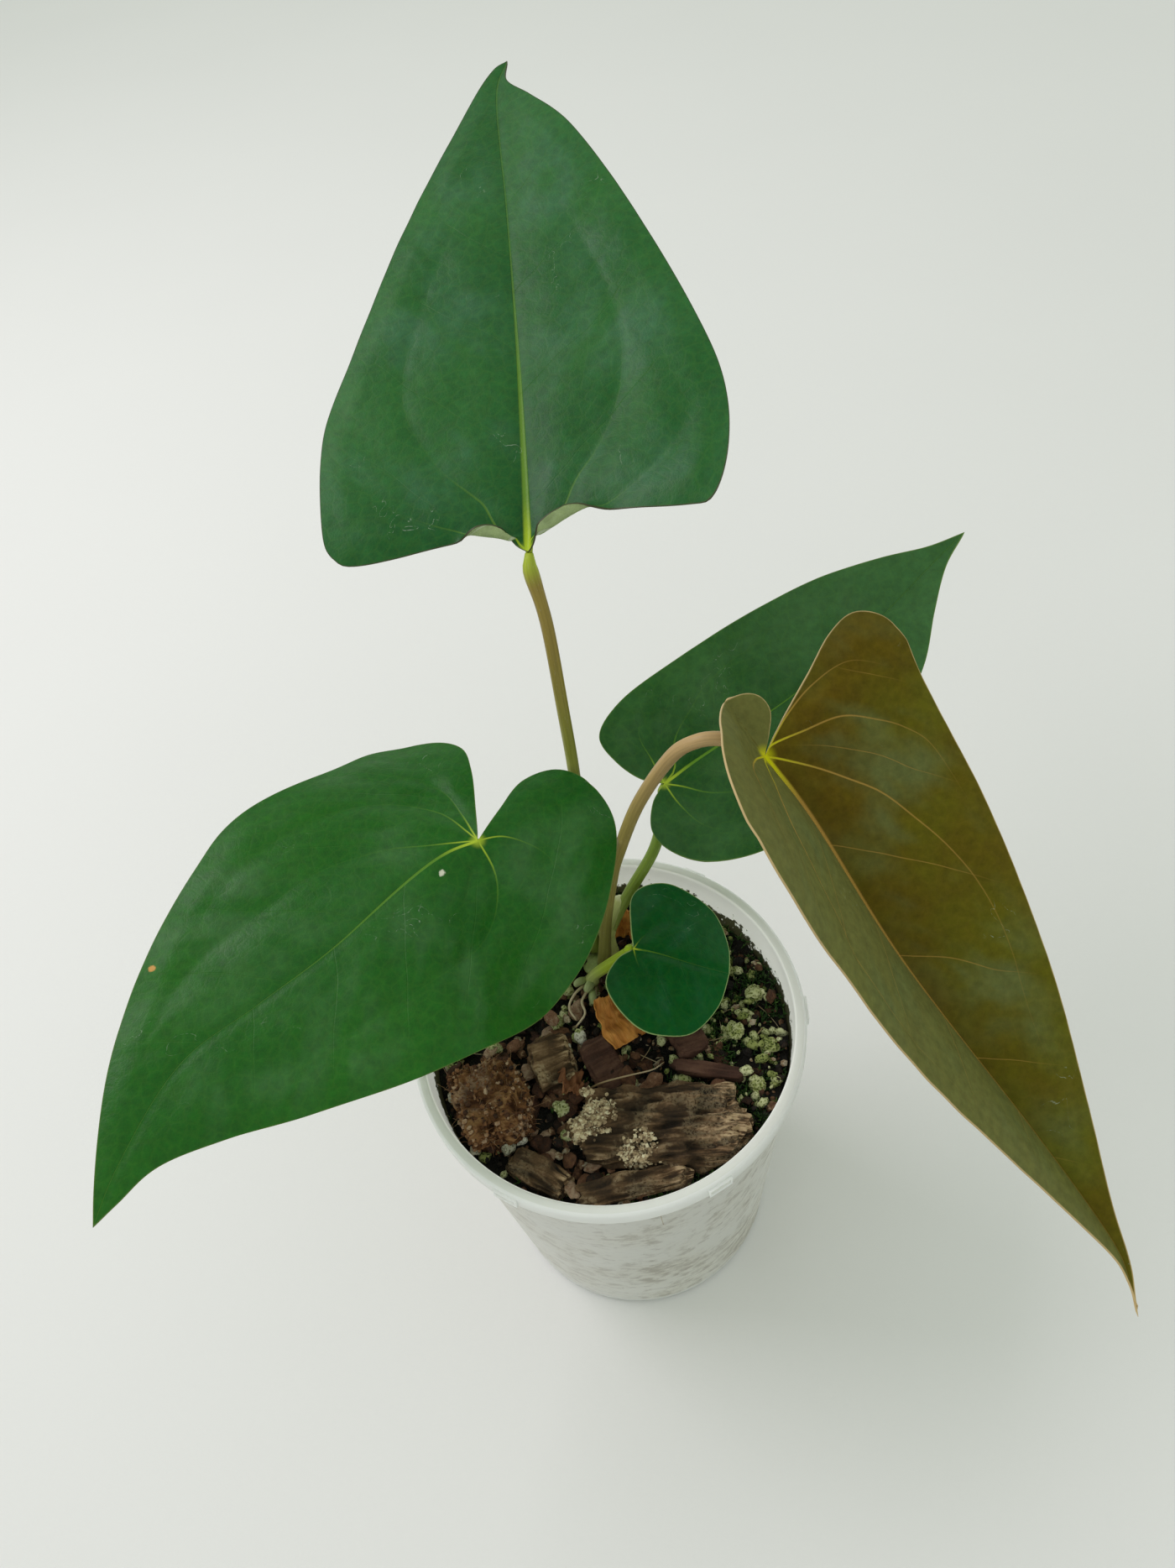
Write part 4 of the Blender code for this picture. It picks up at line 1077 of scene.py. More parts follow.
def mark_laterals(tree, source, place, reach, along, edge):
    """The running number of the lateral vein, and a mask of the laterals themselves."""
    across = calc(tree, "ABSOLUTE", reach)
    bow = times(tree, across, across, LATERAL_BOW * LOBE)
    lean = calc(tree, "MULTIPLY_ADD", across, source["Rise"], bow)
    phase = calc(tree, "DIVIDE", calc(tree, "SUBTRACT", along, lean), source["Spacing"])
    phase = calc(tree, "ADD", phase, times(tree, cloud(tree, place, 45, 1), 0.22))
    at_right = calc(tree, "GREATER_THAN", reach, 0)
    phase = calc(tree, "ADD", phase, times(tree, at_right, LATERAL_SHIFT))
    ridge = calc(tree, "ABSOLUTE", calc(tree, "SUBTRACT", calc(tree, "FRACT", phase), 0.5))
    line = times(tree, calc(tree, "SUBTRACT", 0.5, ridge), source["Spacing"])
    lateral = times(tree, fade(tree, line, 0.0006, 0.0026, 1, 0), fade(tree, edge, 0.02, 0.2))
    return phase, lateral


def ground_colour(tree, source, place, reach, edge, grown, phase):
    """Mottled green from the sinus outwards, with a painted satin sheen between the side veins
    and a painted sheen over the young leaf's right half.
    """
    across = calc(tree, "ABSOLUTE", reach)
    patches = fade(tree, cloud(tree, place, 34, 3, 0.55), 0.3, 0.7)
    out = calc(tree, "MULTIPLY_ADD", patches, 0.4, times(tree, grown, 0.45))
    out = calc(tree, "MULTIPLY_ADD", across, 0.6, out)
    colour = mix(tree, calc(tree, "MINIMUM", out, 1.0), source["Near"], source["Far"])
    # Painted sheen: the young leaf's right half takes the paler Half colour
    half = times(tree, fade(tree, reach, -0.002, 0.004), source["Half Sheen Share"])
    colour = mix(tree, half, colour, source["Half"])
    # Painted sheen: soft bands between the side veins and a haze, in the Sheen colour, faint at
    # margin and midrib
    band = node(tree, "CombineXYZ", {0: times(tree, phase, 1.5), 1: times(tree, across, 5)})
    bands = cloud(tree, band.outputs[0], 1.0, 2, 0.5, 0.4)
    haze = times(tree, cloud(tree, place, 50, 5, 0.5), 0.45)
    gleam = fade(tree, calc(tree, "MULTIPLY_ADD", bands, 0.65, haze), 0.48, 0.70)
    gleam = times(tree, gleam, source["Sheen Share"], fade(tree, edge, 0.01, 0.10, 0.3, 1),
                  fade(tree, across, 0.0, 0.09, 0.25, 1))
    return mix(tree, gleam, colour, source["Sheen"]), patches, gleam


def add_vein_colours(tree, source, colour, veins, from_sinus):
    """Veins that are bright near the sinus, where they meet in a star."""
    bright = fade(tree, calc(tree, "DIVIDE", from_sinus, source["Vein Reach"]), 0, 1, 0.9, 0.2)
    colour = mix(tree, times(tree, veins, bright), colour, source["Vein"])
    share = calc(tree, "DIVIDE", from_sinus, source["Length"])
    star = times(tree, veins, fade(tree, share, 0.005, 0.10, 1, 0))
    glow = fade(tree, share, 0.001, 0.022, 0.9, 0)
    return mix(tree, calc(tree, "MAXIMUM", star, glow), colour, source["Star"]), share


def add_marks(tree, source, colour, place, reach, along):
    """Fine pale scuffs in loose groups, and the spots of the left leaf."""
    swirl = calc(tree, "SUBTRACT", cloud(tree, place, 70, 2, 0.5, 1.5), 0.5)
    scuff = times(tree, fade(tree, calc(tree, "ABSOLUTE", swirl), 0.0, 0.005, 1, 0),
                  source["Scuffs"], fade(tree, cloud(tree, place, 55, 2), 0.60, 0.70),
                  fade(tree, cloud(tree, place, 1500, 2), 0.4, 0.62))
    colour = mix(tree, scuff, colour, SCUFF_COLOUR)
    flat = node(tree, "CombineXYZ", {0: reach, 1: along}).outputs[0]
    ragged = cloud(tree, place, 700, 2)
    for spot, spot_colour in zip(SKIN_SPOTS, (ORANGE_SPOT_COLOUR, WHITE_SPOT_COLOUR)):
        away = node(tree, "VectorMath", {0: flat, 1: source[spot]}, operation="DISTANCE")
        away = calc(tree, "MULTIPLY_ADD", ragged, 0.012, away.outputs["Value"])
        colour = mix(tree, fade(tree, away, 0.011, 0.016, 0.85, 0), colour, spot_colour)
    return colour, scuff


def build_leaf_skin():
    """Veins, mottling, painted sheen, margin and scuffs of a blade, from the measures in its mesh.
    """
    measures = ("Length", "Vein Width", "Midrib Width", "Spacing", "Rise")
    inputs = {**dict.fromkeys(SKIN_COLOURS, "Color"),
              **dict.fromkeys(measures + SKIN_NUMBERS, "Float"),
              **dict.fromkeys(SKIN_SPOTS, "Vector")}
    outputs = {"Colour": "Color", "Roughness": "Float", "Height": "Float"}
    tree, source, drain = new_group("leaf_skin", inputs, outputs)
    place = object_place(tree)
    reach, along, edge = parts_of(tree, attribute(tree, "place")["Vector"])
    from_sinus = calc(tree, "SQRT", calc(tree, "ADD", times(tree, reach, reach),
                                         times(tree, along, along)))
    veins, grown = mark_veins(tree, source, reach, along, from_sinus)
    phase, lateral = mark_laterals(tree, source, place, reach, along, edge)
    broad = calc(tree, "SUBTRACT", 0.16, cells(tree, place, 300, "DISTANCE_TO_EDGE"))
    fine = fade(tree, cells(tree, place, 1100, "DISTANCE_TO_EDGE"), 0.0, 0.2, 1, 0)
    net = times(tree, calc(tree, "MULTIPLY_ADD", fade(tree, broad, 0, 0.16), 0.6,
                           times(tree, fine, 0.4)), source["Net"])
    speckle = cloud(tree, place, 420, 3, 0.6)

    colour, patches, gleam = ground_colour(tree, source, place, reach, edge, grown, phase)
    colour = times_colour(tree, colour, calc(tree, "MULTIPLY_ADD", speckle, 0.8, 0.60))
    colour = mix(tree, times(tree, net, 0.16), colour, source["Vein"])
    colour = mix(tree, times(tree, lateral, source["Laterals"]), colour, source["Vein"])
    colour, share = add_vein_colours(tree, source, colour, veins, from_sinus)
    line = times(tree, fade(tree, edge, 0.0005, 0.0035, 0.9, 0), fade(tree, share, 0.01, 0.05))
    colour = mix(tree, line, colour, source["Margin"])
    colour, scuff = add_marks(tree, source, colour, place, reach, along)
    tree.links.new(colour, drain["Colour"])

    dull = calc(tree, "MULTIPLY_ADD", patches, 0.10, source["Roughness"])
    dull = calc(tree, "MULTIPLY_ADD", gleam, -0.08, dull)
    tree.links.new(calc(tree, "MULTIPLY_ADD", scuff, 0.3, dull), drain["Roughness"])
    height = calc(tree, "MULTIPLY_ADD", net, -0.4, times(tree, speckle, 0.35))
    height = calc(tree, "MULTIPLY_ADD", veins, -0.8, height)
    height = calc(tree, "MULTIPLY_ADD", lateral, -0.35, height)
    height = calc(tree, "MULTIPLY_ADD", cloud(tree, place, 110, 2), 2.2, height)
    tree.links.new(height, drain["Height"])
    return tree


leaf_skin = build_leaf_skin()


def scaled(colour, share):
    """A darker colour."""
    return tuple(part * share for part in colour)


def lighter(colour, share):
    """A colour moved by a share of the way towards white."""
    return tuple(part + (1 - part) * share for part in colour)


def build_skin_material(name, leaf, looks, depth):
    """One face of a blade; the bump's height is depth metres."""
    spacing, rise, _ = leaf["laterals"]
    material, tree, shader = new_material(name, Specular_IOR_Level=looks["gloss"])
    skin = use_group(tree, leaf_skin, {
        "Length": leaf["midrib"][-1][1] / LOBE, "Spacing": spacing / LOBE, "Rise": rise,
        "Vein Width": leaf["vein_width"] / LOBE, "Midrib Width": looks["midrib"] / LOBE,
        **{label: looks[label.lower().replace(" ", "_")]
           for label in SKIN_COLOURS + SKIN_NUMBERS + SKIN_SPOTS}})
    dress(tree, shader, skin["Colour"], skin["Roughness"], skin["Height"], depth)
    return material


def build_blade_materials(name, leaf):
    """The upper face, the paler underside and the thin cut edge of one blade."""
    looks = {**COMMON_LOOKS, **BLADE_LOOKS[name]}
    pale = looks["under"]
    under_looks = {**looks, **UNDER_LOOKS, "near": pale, "far": scaled(pale, 0.9), "half": pale,
                   "sheen": lighter(pale, 0.1), "vein": lighter(pale, 0.25),
                   "star": lighter(pale, 0.3)}
    top = build_skin_material(name + "_upper", leaf, looks, 0.14 * MM)
    under = build_skin_material(name + "_under", leaf, under_looks, 0.2 * MM)
    cut, tree, shader = new_material(name + "_edge", Specular_IOR_Level=0.3)
    patch = cloud(tree, object_place(tree), 300, 2)
    colour = mix(tree, patch, scaled(looks["margin"], 0.8), looks["margin"])
    dress(tree, shader, colour, fade(tree, patch, 0, 1, 0.4, 0.6), patch, 0.05 * MM)
    return top, under, cut


def build_blade(name, leaf):
    """The bent skin, thickened downwards from its upper face."""
    blade = add_piece(name + "_blade_skin", blade_mesh(name, leaf),
                      *build_blade_materials(name, leaf))
    thickness = blade.modifiers.new("thickness", "SOLIDIFY")
    thickness.thickness = BLADE_THICKNESS
    thickness.offset = -1
    thickness.material_offset = 1
    thickness.material_offset_rim = 2
    keep_modifiers(blade)
    blade.data.set_sharp_from_angle(angle=math.radians(BLADE_SHARPNESS))
    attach(blade, "root")
    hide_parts(name + "_blade")


for name, leaf in LEAVES.items():
    build_blade(name, leaf)


# ------------------------------------------------------------------ leaf stalks
# Each blade's stalk is a smooth round rod that is swollen at the crown and again just
# under the blade, where it turns brighter.  It runs on under the blade as the midrib's
# raised rib, which thins out towards the tip.
STALK_RINGS = 90
STALK_SIDES = 18
STALK_SWELL = 1.28
SWELL_LENGTH = 0.12             # share of the stalk that each swelling takes
STALK_END = 1.0                 # mm that a stalk ends under its blade's sinus
RIB_RINGS = 60
RIB_SIDES = 10
RIB_START = 1.05                # radius in mm under the sinus
RIB_END = 0.28
RIB_SHARE = 0.86                # share of the midrib that the rib runs along

FLECK_COLOUR = (0.55, 0.50, 0.36)
# Colours from the crown up, at the middle and just under the blade, and the joint's own
STALK_COLOURS = {
    "leaf_tall": ((0.18, 0.23, 0.04), (0.22, 0.24, 0.035), (0.29, 0.21, 0.045), (0.36, 0.44, 0.03)),
    "leaf_left": ((0.20, 0.28, 0.06), (0.20, 0.30, 0.05), (0.24, 0.32, 0.05), (0.34, 0.42, 0.04)),
    "leaf_right": ((0.38, 0.43, 0.13), (0.20, 0.29, 0.035), (0.17, 0.27, 0.03), (0.30, 0.42, 0.04)),
    "leaf_young": ((0.24, 0.22, 0.06), (0.29, 0.23, 0.065), (0.44, 0.29, 0.13), (0.52, 0.32, 0.17)),
    "leaf_small": ((0.45, 0.50, 0.18), (0.40, 0.52, 0.04), (0.38, 0.52, 0.02), (0.42, 0.58, 0.02)),
}


def sweep(bm, route, radii, sides):
    """Adds a closed round tube along route (mm): rings are carried along it and bridged."""
    share = bm.verts.layers.float.get("share") or bm.verts.layers.float.new("share")
    skin = (bm.verts.layers.float_vector.get("skin")
            or bm.verts.layers.float_vector.new("skin"))
    tangents = np.gradient(route, axis=0)
    side = Vector(tangents[0]).orthogonal()
    gone = np.append(0, np.cumsum(np.linalg.norm(np.diff(route, axis=0), axis=1)))
    before = None
    for index, (point, tangent) in enumerate(zip(route, tangents)):
        tangent = Vector(tangent).normalized()
        side = (side - side.dot(tangent) * tangent).normalized()
        turn = Matrix((side, tangent.cross(side), tangent)).transposed().to_4x4()
        place = Matrix.Translation(Vector(point) * MM) @ turn
        ring = bmesh.ops.create_circle(bm, segments=sides, radius=radii[index] * MM,
                                       matrix=place)["verts"]
        for corner, vertex in enumerate(ring):
            angle = math.tau * corner / sides
            vertex[share] = index / (len(route) - 1)
            vertex[skin] = (math.cos(angle), math.sin(angle), gone[index] / 10)
        edges = list({edge for vertex in ring for edge in vertex.link_edges})
        if before:
            bmesh.ops.bridge_loops(bm, edges=before + edges)
        else:
            bmesh.ops.edgeloop_fill(bm, edges=edges)
        before = edges
    bmesh.ops.edgeloop_fill(bm, edges=before)


def add_closed_piece(name, bm, material):
    """A piece whose faces are all turned outwards first."""
    bmesh.ops.recalc_face_normals(bm, faces=bm.faces)
    return add_piece(name, bm, material)


def ripple(bm, height, spacing):
    """Makes a smooth shape a little uneven; both values are in mm."""
    for vertex in bm.verts:
        vertex.co += height * MM * noise.noise_vector(vertex.co / (spacing * MM))


def build_stalk_skin():
    """Colour along a stalk with fine lengthwise streaks and pale flecks."""
    inputs = dict.fromkeys(("Low", "Middle", "High", "Joint"), "Color")
    outputs = {"Colour": "Color", "Roughness": "Float", "Height": "Float"}
    tree, source, drain = new_group("stalk_skin", inputs, outputs)
    share = attribute(tree, "share")["Fac"]
    skin = attribute(tree, "skin")["Vector"]
    long = node(tree, "Mapping", {"Vector": skin, "Scale": (3.2, 3.2, 0.5)}).outputs[0]
    short = node(tree, "Mapping", {"Vector": skin, "Scale": (5, 5, 7)}).outputs[0]
    streaks = cloud(tree, long, 1.0, 3, 0.6)
    flecks = fade(tree, cloud(tree, short, 1.0, 2), 0.62, 0.74)
    colour = mix(tree, fade(tree, share, 0.02, 0.5), source["Low"], source["Middle"])
    colour = mix(tree, fade(tree, share, 0.45, 0.85), colour, source["High"])
    colour = mix(tree, fade(tree, share, 0.93, 0.99), colour, source["Joint"])
    colour = times_colour(tree, colour, calc(tree, "MULTIPLY_ADD", streaks, 0.9, 0.55))
    colour = mix(tree, times(tree, flecks, 0.18), colour, FLECK_COLOUR)
    tree.links.new(colour, drain["Colour"])
    tree.links.new(fade(tree, streaks, 0.2, 0.8, 0.36, 0.52), drain["Roughness"])
    tree.links.new(calc(tree, "MULTIPLY_ADD", flecks, 0.4, streaks), drain["Height"])
    return tree


stalk_skin = build_stalk_skin()


def build_stalk_material(name, colours):
    """Four colours from the crown to the blade, under one satin skin."""
    material, tree, shader = new_material(name, Specular_IOR_Level=0.3)
    labels = ("Low", "Middle", "High", "Joint")
    skin = use_group(tree, stalk_skin, dict(zip(labels, colours)))
    dress(tree, shader, skin["Colour"], skin["Roughness"], skin["Height"], 0.09 * MM)
    return material


def stalk_radii(width, count):
    """The stalk's radius at each ring: thick at the crown, thicker again near the blade."""
    share = np.linspace(0, 1, count)
    low = np.clip(1 - share / SWELL_LENGTH, 0, 1) ** 2
    high = np.exp(-((share - 0.955) / 0.035) ** 2) * 0.7
    close = np.clip((share - 0.97) / 0.03, 0, 1) * 0.42
    return width / 2 * (1 + (STALK_SWELL - 1) * (low + high) - close)


def build_stalk(name, leaf):
    """The rod from the crown to just under the blade's sinus."""
    _, _, upper = blade_axes(leaf, np.zeros(1))
    join = np.array(leaf["sinus"]) - STALK_END * upper[0]
    points = np.array(leaf["stalk"])
    points[-3:] -= leaf["clearance"] * upper[0]
    route = smooth_path(np.vstack([points, join]), STALK_RINGS)
    bm = bmesh.new()
    sweep(bm, route, stalk_radii(leaf["stalk_width"], STALK_RINGS), STALK_SIDES)
    stalk = add_closed_piece(name + "_stalk", bm,
                             build_stalk_material(name + "_stalk", STALK_COLOURS[name]))
    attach(stalk, "root")
    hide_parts(name + "_petiole")


def build_rib(name, leaf):
    """The midrib's round back, half sunk in the underside of the blade."""
    midrib = smooth_path(leaf["midrib"], RIB_RINGS)
    flat = midrib[:round(RIB_RINGS * RIB_SHARE)]
    share = np.linspace(0, 1, len(flat))
    radii = RIB_START + (RIB_END - RIB_START) * share ** 0.7
    radii[0] *= 0.8
    radii[-1] *= 0.3
    depth = groove_depth(flat[:, 1]) * near_sinus(flat)
    lift = -depth - BLADE_THICKNESS / MM - radii + 0.2
    route = blade_places(leaf, flat, np.full(len(flat), 1e-6), lift)
    bm = bmesh.new()
    sweep(bm, route, radii, RIB_SIDES)
    pale = BLADE_LOOKS[name]["under"]
    colours = (STALK_COLOURS[name][3], lighter(pale, 0.2), lighter(pale, 0.12), pale)
    rib = add_closed_piece(name + "_rib", bm, build_stalk_material(name + "_rib", colours))
    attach(rib, "root")


for name, leaf in LEAVES.items():
    build_stalk(name, leaf)
    build_rib(name, leaf)


# ------------------------------------------------------------------ crown
# The short stem that every stalk grows from, ringed by the scars of lost leaves and
# planted in the mix, with a pale sheath round the foot of the stalk at the right.
STEM_CENTRE = (-0.5, 25)
STEM_RADIUS = 4.2
STEM_TOP = 105.5
STEM_BOTTOM = 77.5
SCARS = 6
STEM_RINGS = 60
SHEATH_RINGS = 30
CROWN_COLOURS = ((0.20, 0.12, 0.05), (0.24, 0.20, 0.07), (0.30, 0.36, 0.12), (0.36, 0.44, 0.16))
SHEATH_COLOURS = ((0.42, 0.42, 0.14), (0.50, 0.54, 0.18), (0.56, 0.60, 0.24), (0.66, 0.66, 0.38))
SHEATH_ROUTE = [(3.6, 26.6, 105), (4.0, 28.4, 110), (4.4, 30.0, 114.6), (6.8, 32.0, 119.0),
                (10.2, 34.6, 123.4)]

bm = bmesh.new()
heights = np.linspace(STEM_BOTTOM, STEM_TOP, STEM_RINGS)
share = (heights - STEM_BOTTOM) / (STEM_TOP - STEM_BOTTOM)
scars = 1 - 0.10 * np.exp(-((share * SCARS % 1 - 0.5) / 0.16) ** 2)
radii = STEM_RADIUS * (0.68 + 0.32 * share) * scars
radii[0] *= 0.55
radii[-1] *= 0.7
route = np.array([(*STEM_CENTRE, height) for height in heights])
sweep(bm, route, radii, 32)
ripple(bm, 0.45, 4)
stem = add_closed_piece("crown_stem", bm, build_stalk_material("crown_stem", CROWN_COLOURS))
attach(stem, "root")
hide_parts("stem")

bm = bmesh.new()
share = np.linspace(0, 1, SHEATH_RINGS)
radii = 2.6 - 0.7 * share + 0.35 * np.exp(-((share - 0.45) / 0.07) ** 2)
radii[-1] = 1.3
sweep(bm, smooth_path(SHEATH_ROUTE, SHEATH_RINGS), radii, 24)
ripple(bm, 0.25, 2.5)
sheath = add_closed_piece("crown_sheath", bm,
                          build_stalk_material("crown_sheath", SHEATH_COLOURS))
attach(sheath, "root")


# ------------------------------------------------------------------ bark
# Broken pieces of conifer bark that lie half sunk in the mix: one large furrowed slab
# at the front with pale crusts, and thinner chips that show their smooth inner face.
BARK = {
    "bark_slab": {"centre": (9, -29.8, 106.9), "size": (43, 20, 10.5), "turns": (4, -2, -9),
                  "cuts": 52, "furrow": 2.6, "crust": 0.2, "tone": 0.26, "slope": 1.2},
    "bark_front": {"centre": (-1, -44.0, 105.6), "size": (30, 6.4, 7), "turns": (0, 0, 3),
                   "cuts": 30, "furrow": 1.3, "crust": 0.25, "tone": 0.32, "slope": 0.3},
    "bark_left": {"centre": (-24.5, -36, 105.2), "size": (17, 7.5, 7), "turns": (0, 4, -38),
                  "cuts": 22, "furrow": 1.3, "crust": 0.15, "tone": 0.30, "slope": 0.3},
    "bark_curl": {"centre": (-17.5, -5, 106.2), "size": (11, 15, 7), "turns": (10, 0, 12),
                  "cuts": 24, "furrow": 0.9, "crust": 0.5, "tone": 0.44, "slope": 0.9},
    "bark_chip_centre": {"centre": (-3, -8.5, 105.6), "size": (9, 16, 3.4), "turns": (6, 5, 22),
                         "cuts": 16, "furrow": 0.3, "crust": 0.0, "tone": 0.52, "slope": 0.1},
    "bark_chip_right": {"centre": (21, -3, 105.8), "size": (9, 14, 3.2), "turns": (-5, 8, 14),
                        "cuts": 16, "furrow": 0.3, "crust": 0.0, "tone": 0.55, "slope": 0.1},
    "bark_chip_long": {"centre": (25, -15.6, 106.4), "size": (19, 4, 3), "turns": (0, 2, -18),
                       "cuts": 16, "furrow": 0.3, "crust": 0.0, "tone": 0.48, "slope": 0.1},
    "bark_rear": {"centre": (-24, 24, 105.8), "size": (25, 13, 7.5), "turns": (3, 2, 38),
                  "cuts": 24, "furrow": 1.4, "crust": 0.4, "tone": 0.45, "slope": 0.3},
}
BARK_COLOURS = ((0.0, (0.010, 0.007, 0.004)), (0.30, (0.044, 0.025, 0.011)),
                (0.52, (0.112, 0.064, 0.029)), (0.72, (0.25, 0.155, 0.082)),
                (0.9, (0.46, 0.33, 0.19)))
CRUST_COLOURS = ((0.0, (0.16, 0.10, 0.05)), (0.45, (0.46, 0.35, 0.20)), (0.8, (0.68, 0.57, 0.38)))
LUMP_SHOWS = 104                # height above which a lump stands clear of the mix
FURROWED = 0.5                  # furrows deeper than this belong to outer bark
INNER_BARK_COLOURS = ((0.0, (0.020, 0.009, 0.006)), (0.5, (0.070, 0.030, 0.020)),
                      (1.0, (0.17, 0.085, 0.055)))


def piece_turn(turns):
    """A turn about X, then Y, then Z, in degrees."""
    turn = Matrix.Identity(4)
    for angle, axis in zip(turns, "XYZ"):
        turn = Matrix.Rotation(math.radians(angle), 4, axis) @ turn
    return turn


def build_fibrous_grain():
    """Tone of bark or husk: long fibres along X, dark furrows, painted shade low on its sides,
    and pale crusts on top.
    """
    inputs = dict.fromkeys(("Tone", "Fibre Scale", "Crust", "Striped"), "Float")
    outputs = {"Tone": "Float", "Crust": "Float", "Roughness": "Float", "Height": "Float"}
    tree, source, drain = new_group("fibrous_grain", {"Place": "Vector", **inputs}, outputs)
    long = node(tree, "Mapping", {"Vector": source["Place"], "Scale": (0.12, 1, 1)}).outputs[0]
    fibres = cloud(tree, long, source["Fibre Scale"], 5, 0.62, 0.6)
    lumps = cloud(tree, source["Place"], 130, 4, 0.6)
    specks = cloud(tree, source["Place"], 1300, 3, 0.6)
    height = attribute(tree, "height")["Fac"]
    tone = calc(tree, "MULTIPLY_ADD", fibres, 0.85, times(tree, lumps, 0.35))
    tone = calc(tree, "ADD", calc(tree, "SUBTRACT", tone, 0.6), source["Tone"])
    tone = calc(tree, "ADD", tone, calc(tree, "MULTIPLY_ADD", specks, 0.3, -0.15))
    stripes = times(tree, fade(tree, fibres, 0.42, 0.6, -0.1, 0.5),
                    attribute(tree, "end")["Fac"], source["Striped"])
    tone = calc(tree, "ADD", tone, stripes)
    # Painted shade: the tone falls with the height measure, darkest low on a lump's sides
    tone = calc(tree, "ADD", tone, times(tree, height, 0.30), clamp=True)
    tree.links.new(tone, drain["Tone"])
    patch = calc(tree, "ADD", cloud(tree, source["Place"], 75, 3, 0.6),
                 times(tree, height, 0.10))
    crust = times(tree, fade(tree, patch, 0.56, 0.63), source["Crust"])
    crust = calc(tree, "MULTIPLY", crust, fade(tree, specks, 0.38, 0.5), clamp=True)
    tree.links.new(crust, drain["Crust"])
    tree.links.new(fade(tree, fibres, 0.2, 0.8, 0.95, 0.7), drain["Roughness"])
    high = calc(tree, "MULTIPLY_ADD", specks, 0.5, fibres)
    tree.links.new(calc(tree, "MULTIPLY_ADD", crust, 0.7, high), drain["Height"])
    return tree


fibrous_grain = build_fibrous_grain()


def build_bark_material(name, spec):
    """Outer bark where the piece is furrowed, else its smooth reddish inner face."""
    material, tree, shader = new_material(name, Specular_IOR_Level=0.3)
    turn = node(tree, "Mapping", {"Vector": object_place(tree),
                                  "Rotation": (0, 0, -math.radians(spec["turns"][2]))})
    grain = use_group(tree, fibrous_grain, {"Place": turn.outputs[0], "Tone": spec["tone"],
                                            "Fibre Scale": 620.0, "Crust": spec["crust"],
                                            "Striped": float(spec["furrow"] > FURROWED)})
    stops = BARK_COLOURS if spec["furrow"] > FURROWED else INNER_BARK_COLOURS
    colour = ramp(tree, grain["Tone"], stops)
    crust = ramp(tree, cloud(tree, object_place(tree), 1500, 2), CRUST_COLOURS)
    colour = mix(tree, grain["Crust"], colour, crust)
    dress(tree, shader, colour, grain["Roughness"], grain["Height"], 0.45 * MM)
    return material


def rough_lump(spec, fibre=(0.09, 0.5, 0.5), fine=0.22):
    """A rounded block in mm, furrowed along its length, roughened and put in its place."""
    bm = bmesh.new()
    bmesh.ops.create_cube(bm, size=1)
    bmesh.ops.subdivide_edges(bm, edges=bm.edges, cuts=spec["cuts"], use_grid_fill=True)
    high = bm.verts.layers.float.new("height")
    end = bm.verts.layers.float.new("end")
    size = Vector(spec["size"])
    seed = Vector(spec["centre"])
    for vertex in bm.verts:
        unit = vertex.co.copy()
        ball = unit.normalized() * 0.6
        unit = unit.lerp(ball, 0.42)
        unit *= 1 + 0.16 * noise.noise(unit * 2.6 + seed)
        place = Vector((unit.x * size.x, unit.y * size.y, unit.z * size.z))
        place.z += spec["slope"] * 2.2 * noise.noise(Vector((place.x, place.y, 0)) / 13 + seed)
        along = Vector((place.x * fibre[0], place.y * fibre[1], place.z * fibre[2])) + seed
        furrow = 1 - 2.4 * abs(noise.noise(along))
        coarse = noise.noise(place / 5 + seed)
        grit = noise.noise(place / 1.1 + seed)
        push = spec["furrow"] * (0.55 * furrow + 0.55 * coarse - 0.4) + fine * grit
        place += Vector((unit.x, unit.y, unit.z * 1.6)).normalized() * push
        # Height measure: high on ridges, low in furrows, and far lower below the middle, for
        # painted shade
        vertex[high] = furrow * 0.6 + coarse - 3 * max(0, 0.12 - unit.z)
        vertex[end] = min(1, max(0, unit.x * 3.2 - 0.6))
        vertex.co = place * MM
    bmesh.ops.transform(bm, matrix=Matrix.Translation(seed * MM) @ piece_turn(spec["turns"]),
                        verts=bm.verts)
    bmesh.ops.recalc_face_normals(bm, faces=bm.faces)
    bm.normal_update()
    return bm


def upper_points(bm, low):
    """Points (mm) of a lump's upper side above low, with the way out of it."""
    return [(vertex.co / MM, vertex.normal.copy()) for vertex in bm.verts
            if vertex.normal.z > 0.1 and vertex.co.z > low * MM]


# Granular crusts on the slab: centre (x, y), half length and half width in mm, turn
CRUSTS = [(-8.5, -25.5, 7.2, 5.2, 20), (3.2, -35.5, 6.0, 4.2, -10), (-17, -33.5, 2.6, 6.0, -12),
          (-8.6, -18.0, 1.6, 1.4, 0)]
CRUST_GRAINS = {"count": 2200, "seed": 3, "sizes": (0.45, 1.6), "flat": (0.35, 0.8),
                "bias": 1.4, "detail": 1}
CRUST_GRAIN_COLOURS = ((0.0, (0.12, 0.075, 0.04)), (0.3, (0.36, 0.26, 0.15)),
                       (0.65, (0.62, 0.50, 0.31)), (1.0, (0.80, 0.72, 0.50)))

for name, spec in BARK.items():
    bm = rough_lump(spec)
    if name == "bark_slab":
        slab_points = upper_points(bm, LUMP_SHOWS)
    piece = add_piece(name + "_piece", bm, build_bark_material(name, spec))
    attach(piece, "root")
    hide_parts(name)

